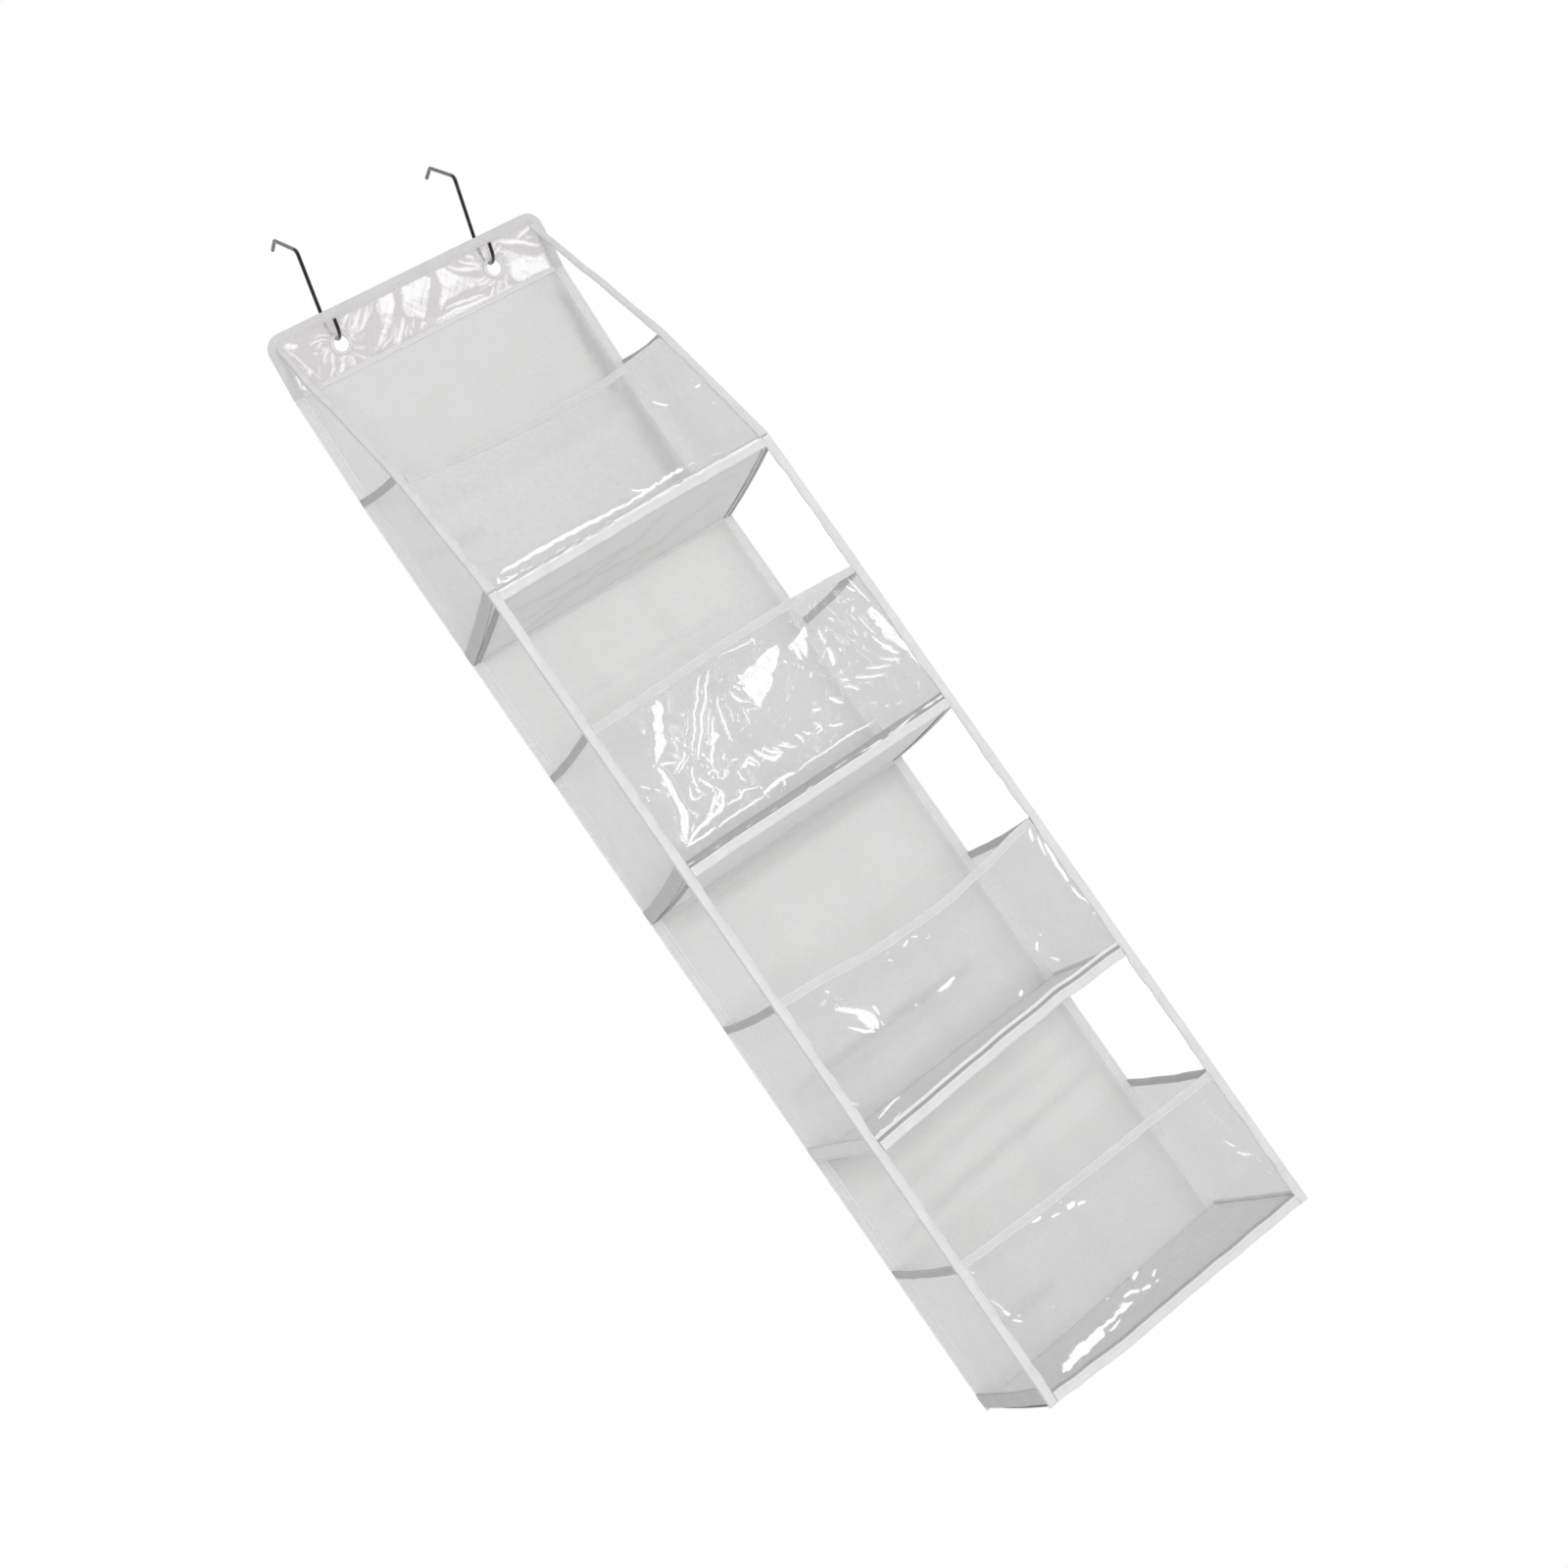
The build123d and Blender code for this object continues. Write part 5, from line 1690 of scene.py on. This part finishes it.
# ---------------------------------------------------------------- pocket floors
# Folds in the cloth of each floor. Width, depth, shade, width of the shade: x,y
FLOOR_FOLDS = {1: """
5 1.3 .5 4: -150,-120 -60,-104 30,-122
5 1.3 .45 4: -140,-60 -40,-76 60,-60
6 1.4 .4 5: -130,-20 -60,-60 0,-110 40,-150
6 1.3 .36 5: 20,-30 70,-80 120,-110
4 .3 .6 5: -158,-160 -158,-10
4 .8 .2 3: 90,-150 140,-130
""", 2: """
5 .9 .2 4: -120,-90 -20,-104 60,-96
""", 3: """
5 .9 .2 4: -60,-60 40,-76 120,-70
""", 4: """
5 .8 .22 4: -110,-110 -40,-98 30,-104
5 .8 .15 4: 40,-50 110,-66
"""}


def floor_board(pocket):
    """One cloth-covered board, thinner along a fold line across its middle."""
    number, crease_y = pocket.number, pocket.crease_y
    half = pocket.half + 3.4
    rear, front = pocket.rear_y - 0.1, pocket.front_y - 0.2
    x, y = np.meshgrid(np.linspace(-half, half, 104), np.concatenate([
        np.linspace(rear, crease_y + 4.0, 26)[:-1],
        np.linspace(crease_y + 4.0, crease_y - 4.0, 15)[:-1],
        np.linspace(crease_y - 4.0, front, 27)]))
    away = 1 - np.exp(-((y - crease_y) / 5.0) ** 2)
    edge = (smoothstep(0, 12, half - np.abs(x)) * smoothstep(0, 10, rear - y)
            * smoothstep(0, 10, y - front))
    cloth = (0.35 * Waves(700 + number, 8, 40, 150)(x, y)
             + 0.12 * Waves(710 + number, 8, 12, 30)(x, y))
    folds, shade = fold_relief(read_shapes(FLOOR_FOLDS[number]), x, y, 90 + number, 1.5)
    z = pocket.floor_z - pocket.board / 2 + board_lift(number, x, y) + cloth * edge * away
    z = z - 0.35 * (1 - away) - folds * edge * away
    thickness = pocket.board - 0.2 - 1.1 * (1 - away) - 0.5 * (1 - edge)
    piece = Piece()
    piece.shell(points_of(x, y, z)[::-1], thickness[::-1], np.stack([x, y], -1)[::-1],
                shade[::-1])
    made = piece.build(f"pocket_{number}_floor_board", [FLOOR_CLOTH], 60)
    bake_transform(made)
    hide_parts(f"pocket_{number}_floor_rear", f"pocket_{number}_floor_front")


for pocket in POCKETS.values():
    front_film(pocket)
    front_rim_tape(pocket)
    front_lower_tape(pocket)
    lower_ys = np.linspace(-2.3, -DEPTH + 1.4, 54)
    for side, side_name in SIDES:
        side_film(pocket, side, side_name)
        side_rim_tape(pocket, side, side_name)
        side_lower_tape(pocket, side, side_name, lower_ys)
        under_tape(pocket, side, side_name, lower_ys)
    floor_board(pocket)


# ---------------------------------------------------------------- lights, stage and camera
CENTRE = (0, -0.085, 0.62)


def pose(x, y, z, at):
    """Matrix with the given axes and place."""
    return Matrix([*np.column_stack([x, y, z, at]).tolist(), (0, 0, 0, 1)])


def area_light(name, azimuth, elevation, distance, width, height, power, target=CENTRE):
    """Light placed around CENTRE, azimuth in degrees from the front towards +x."""
    light = bpy.data.lights.new(name, "AREA")
    light.shape = "RECTANGLE"
    light.size, light.size_y = width, height
    light.energy = power
    a, e = math.radians(azimuth), math.radians(elevation)
    at = (CENTRE[0] + distance * math.sin(a) * math.cos(e),
          CENTRE[1] - distance * math.cos(a) * math.cos(e), CENTRE[2] + distance * math.sin(e))
    z = np.array(at, float) - np.array(target, float)
    z /= np.linalg.norm(z)
    x = np.cross((0, 0, 1), z)
    x /= np.linalg.norm(x)
    made = add_object(name, light)
    made.matrix_world = pose(x, np.cross(z, x), z, at)
    made.visible_camera = False


def seen_strength(s, ray):
    """White where it is seen directly, pale grey where it is seen through film."""
    through = s.math("GREATER_THAN", ray["Transparent Depth"], 0.5)
    return s.math("SUBTRACT", 1.0, s.times(through, 0.30))


def studio_world():
    s = Shader(bpy.data.worlds.new("studio"))
    ray = s.node("LightPath", output=None)
    seen = s.node("Background", {"Color": WHITE, "Strength": seen_strength(s, ray)})
    fill_strength = s.plus(0.54, s.times(ray["Is Glossy Ray"], 0.18))
    fill = s.node("Background", {"Color": WHITE, "Strength": fill_strength})
    return s.finish(s.mix_shader(ray["Is Camera Ray"], fill, seen), "OutputWorld")


def studio_floor():
    z = CAD_BOX[0][2] - 0.35
    mesh = bpy.data.meshes.new("studio_floor")
    mesh.from_pydata([(-9, -9, z), (9, -9, z), (9, 9, z), (-9, 9, z)], [], [(0, 1, 2, 3)])
    s = new_shader("pale_floor")
    ray = s.node("LightPath", output=None)
    fill = s.node("Emission", {"Color": WHITE, "Strength": 0.72})
    seen = s.node("Emission", {"Color": WHITE, "Strength": seen_strength(s, ray)})
    mesh.materials.append(s.finish(s.mix_shader(ray["Is Camera Ray"], fill, seen)))
    add_object("studio_floor", mesh)


def camera():
    yaw, pitch, roll = (math.radians(angle) for angle in (22.5, 2.9, 34.9))
    forward = np.array((math.sin(yaw) * math.cos(pitch), math.cos(yaw) * math.cos(pitch),
                        math.sin(pitch)))
    level = np.array((math.cos(yaw), -math.sin(yaw), 0.0))
    upright = np.cross(level, forward)
    right = math.cos(roll) * level - math.sin(roll) * upright
    up = math.sin(roll) * level + math.cos(roll) * upright
    data = bpy.data.cameras.new("camera")
    data.sensor_width = 36.0
    data.lens = 44.53425
    data.clip_start, data.clip_end = 0.05, 60
    made = add_object("camera", data)
    made.matrix_world = pose(right, up, -forward, (-0.728, -1.8491, 0.5113))
    return made


area_light("key", azimuth=-14, elevation=-2, distance=3.1, width=2.2, height=1.1, power=33,
           target=(0, -0.085, 0.46))
area_light("strip_right", azimuth=40, elevation=6, distance=2.3, width=0.14, height=1.6, power=2.0)
area_light("strip_left", azimuth=10, elevation=12, distance=2.4, width=0.10, height=1.4, power=1.0)
area_light("overhead", azimuth=15, elevation=52, distance=2.6, width=1.0, height=0.5, power=2)
scene = bpy.context.scene
scene.world = studio_world()
studio_floor()
scene.camera = camera()
scene.view_settings.view_transform = "Standard"
scene.view_settings.look = "None"
scene.cycles.transparent_max_bounces = 40
scene.cycles.max_bounces = 8

bpy.context.view_layer.update()
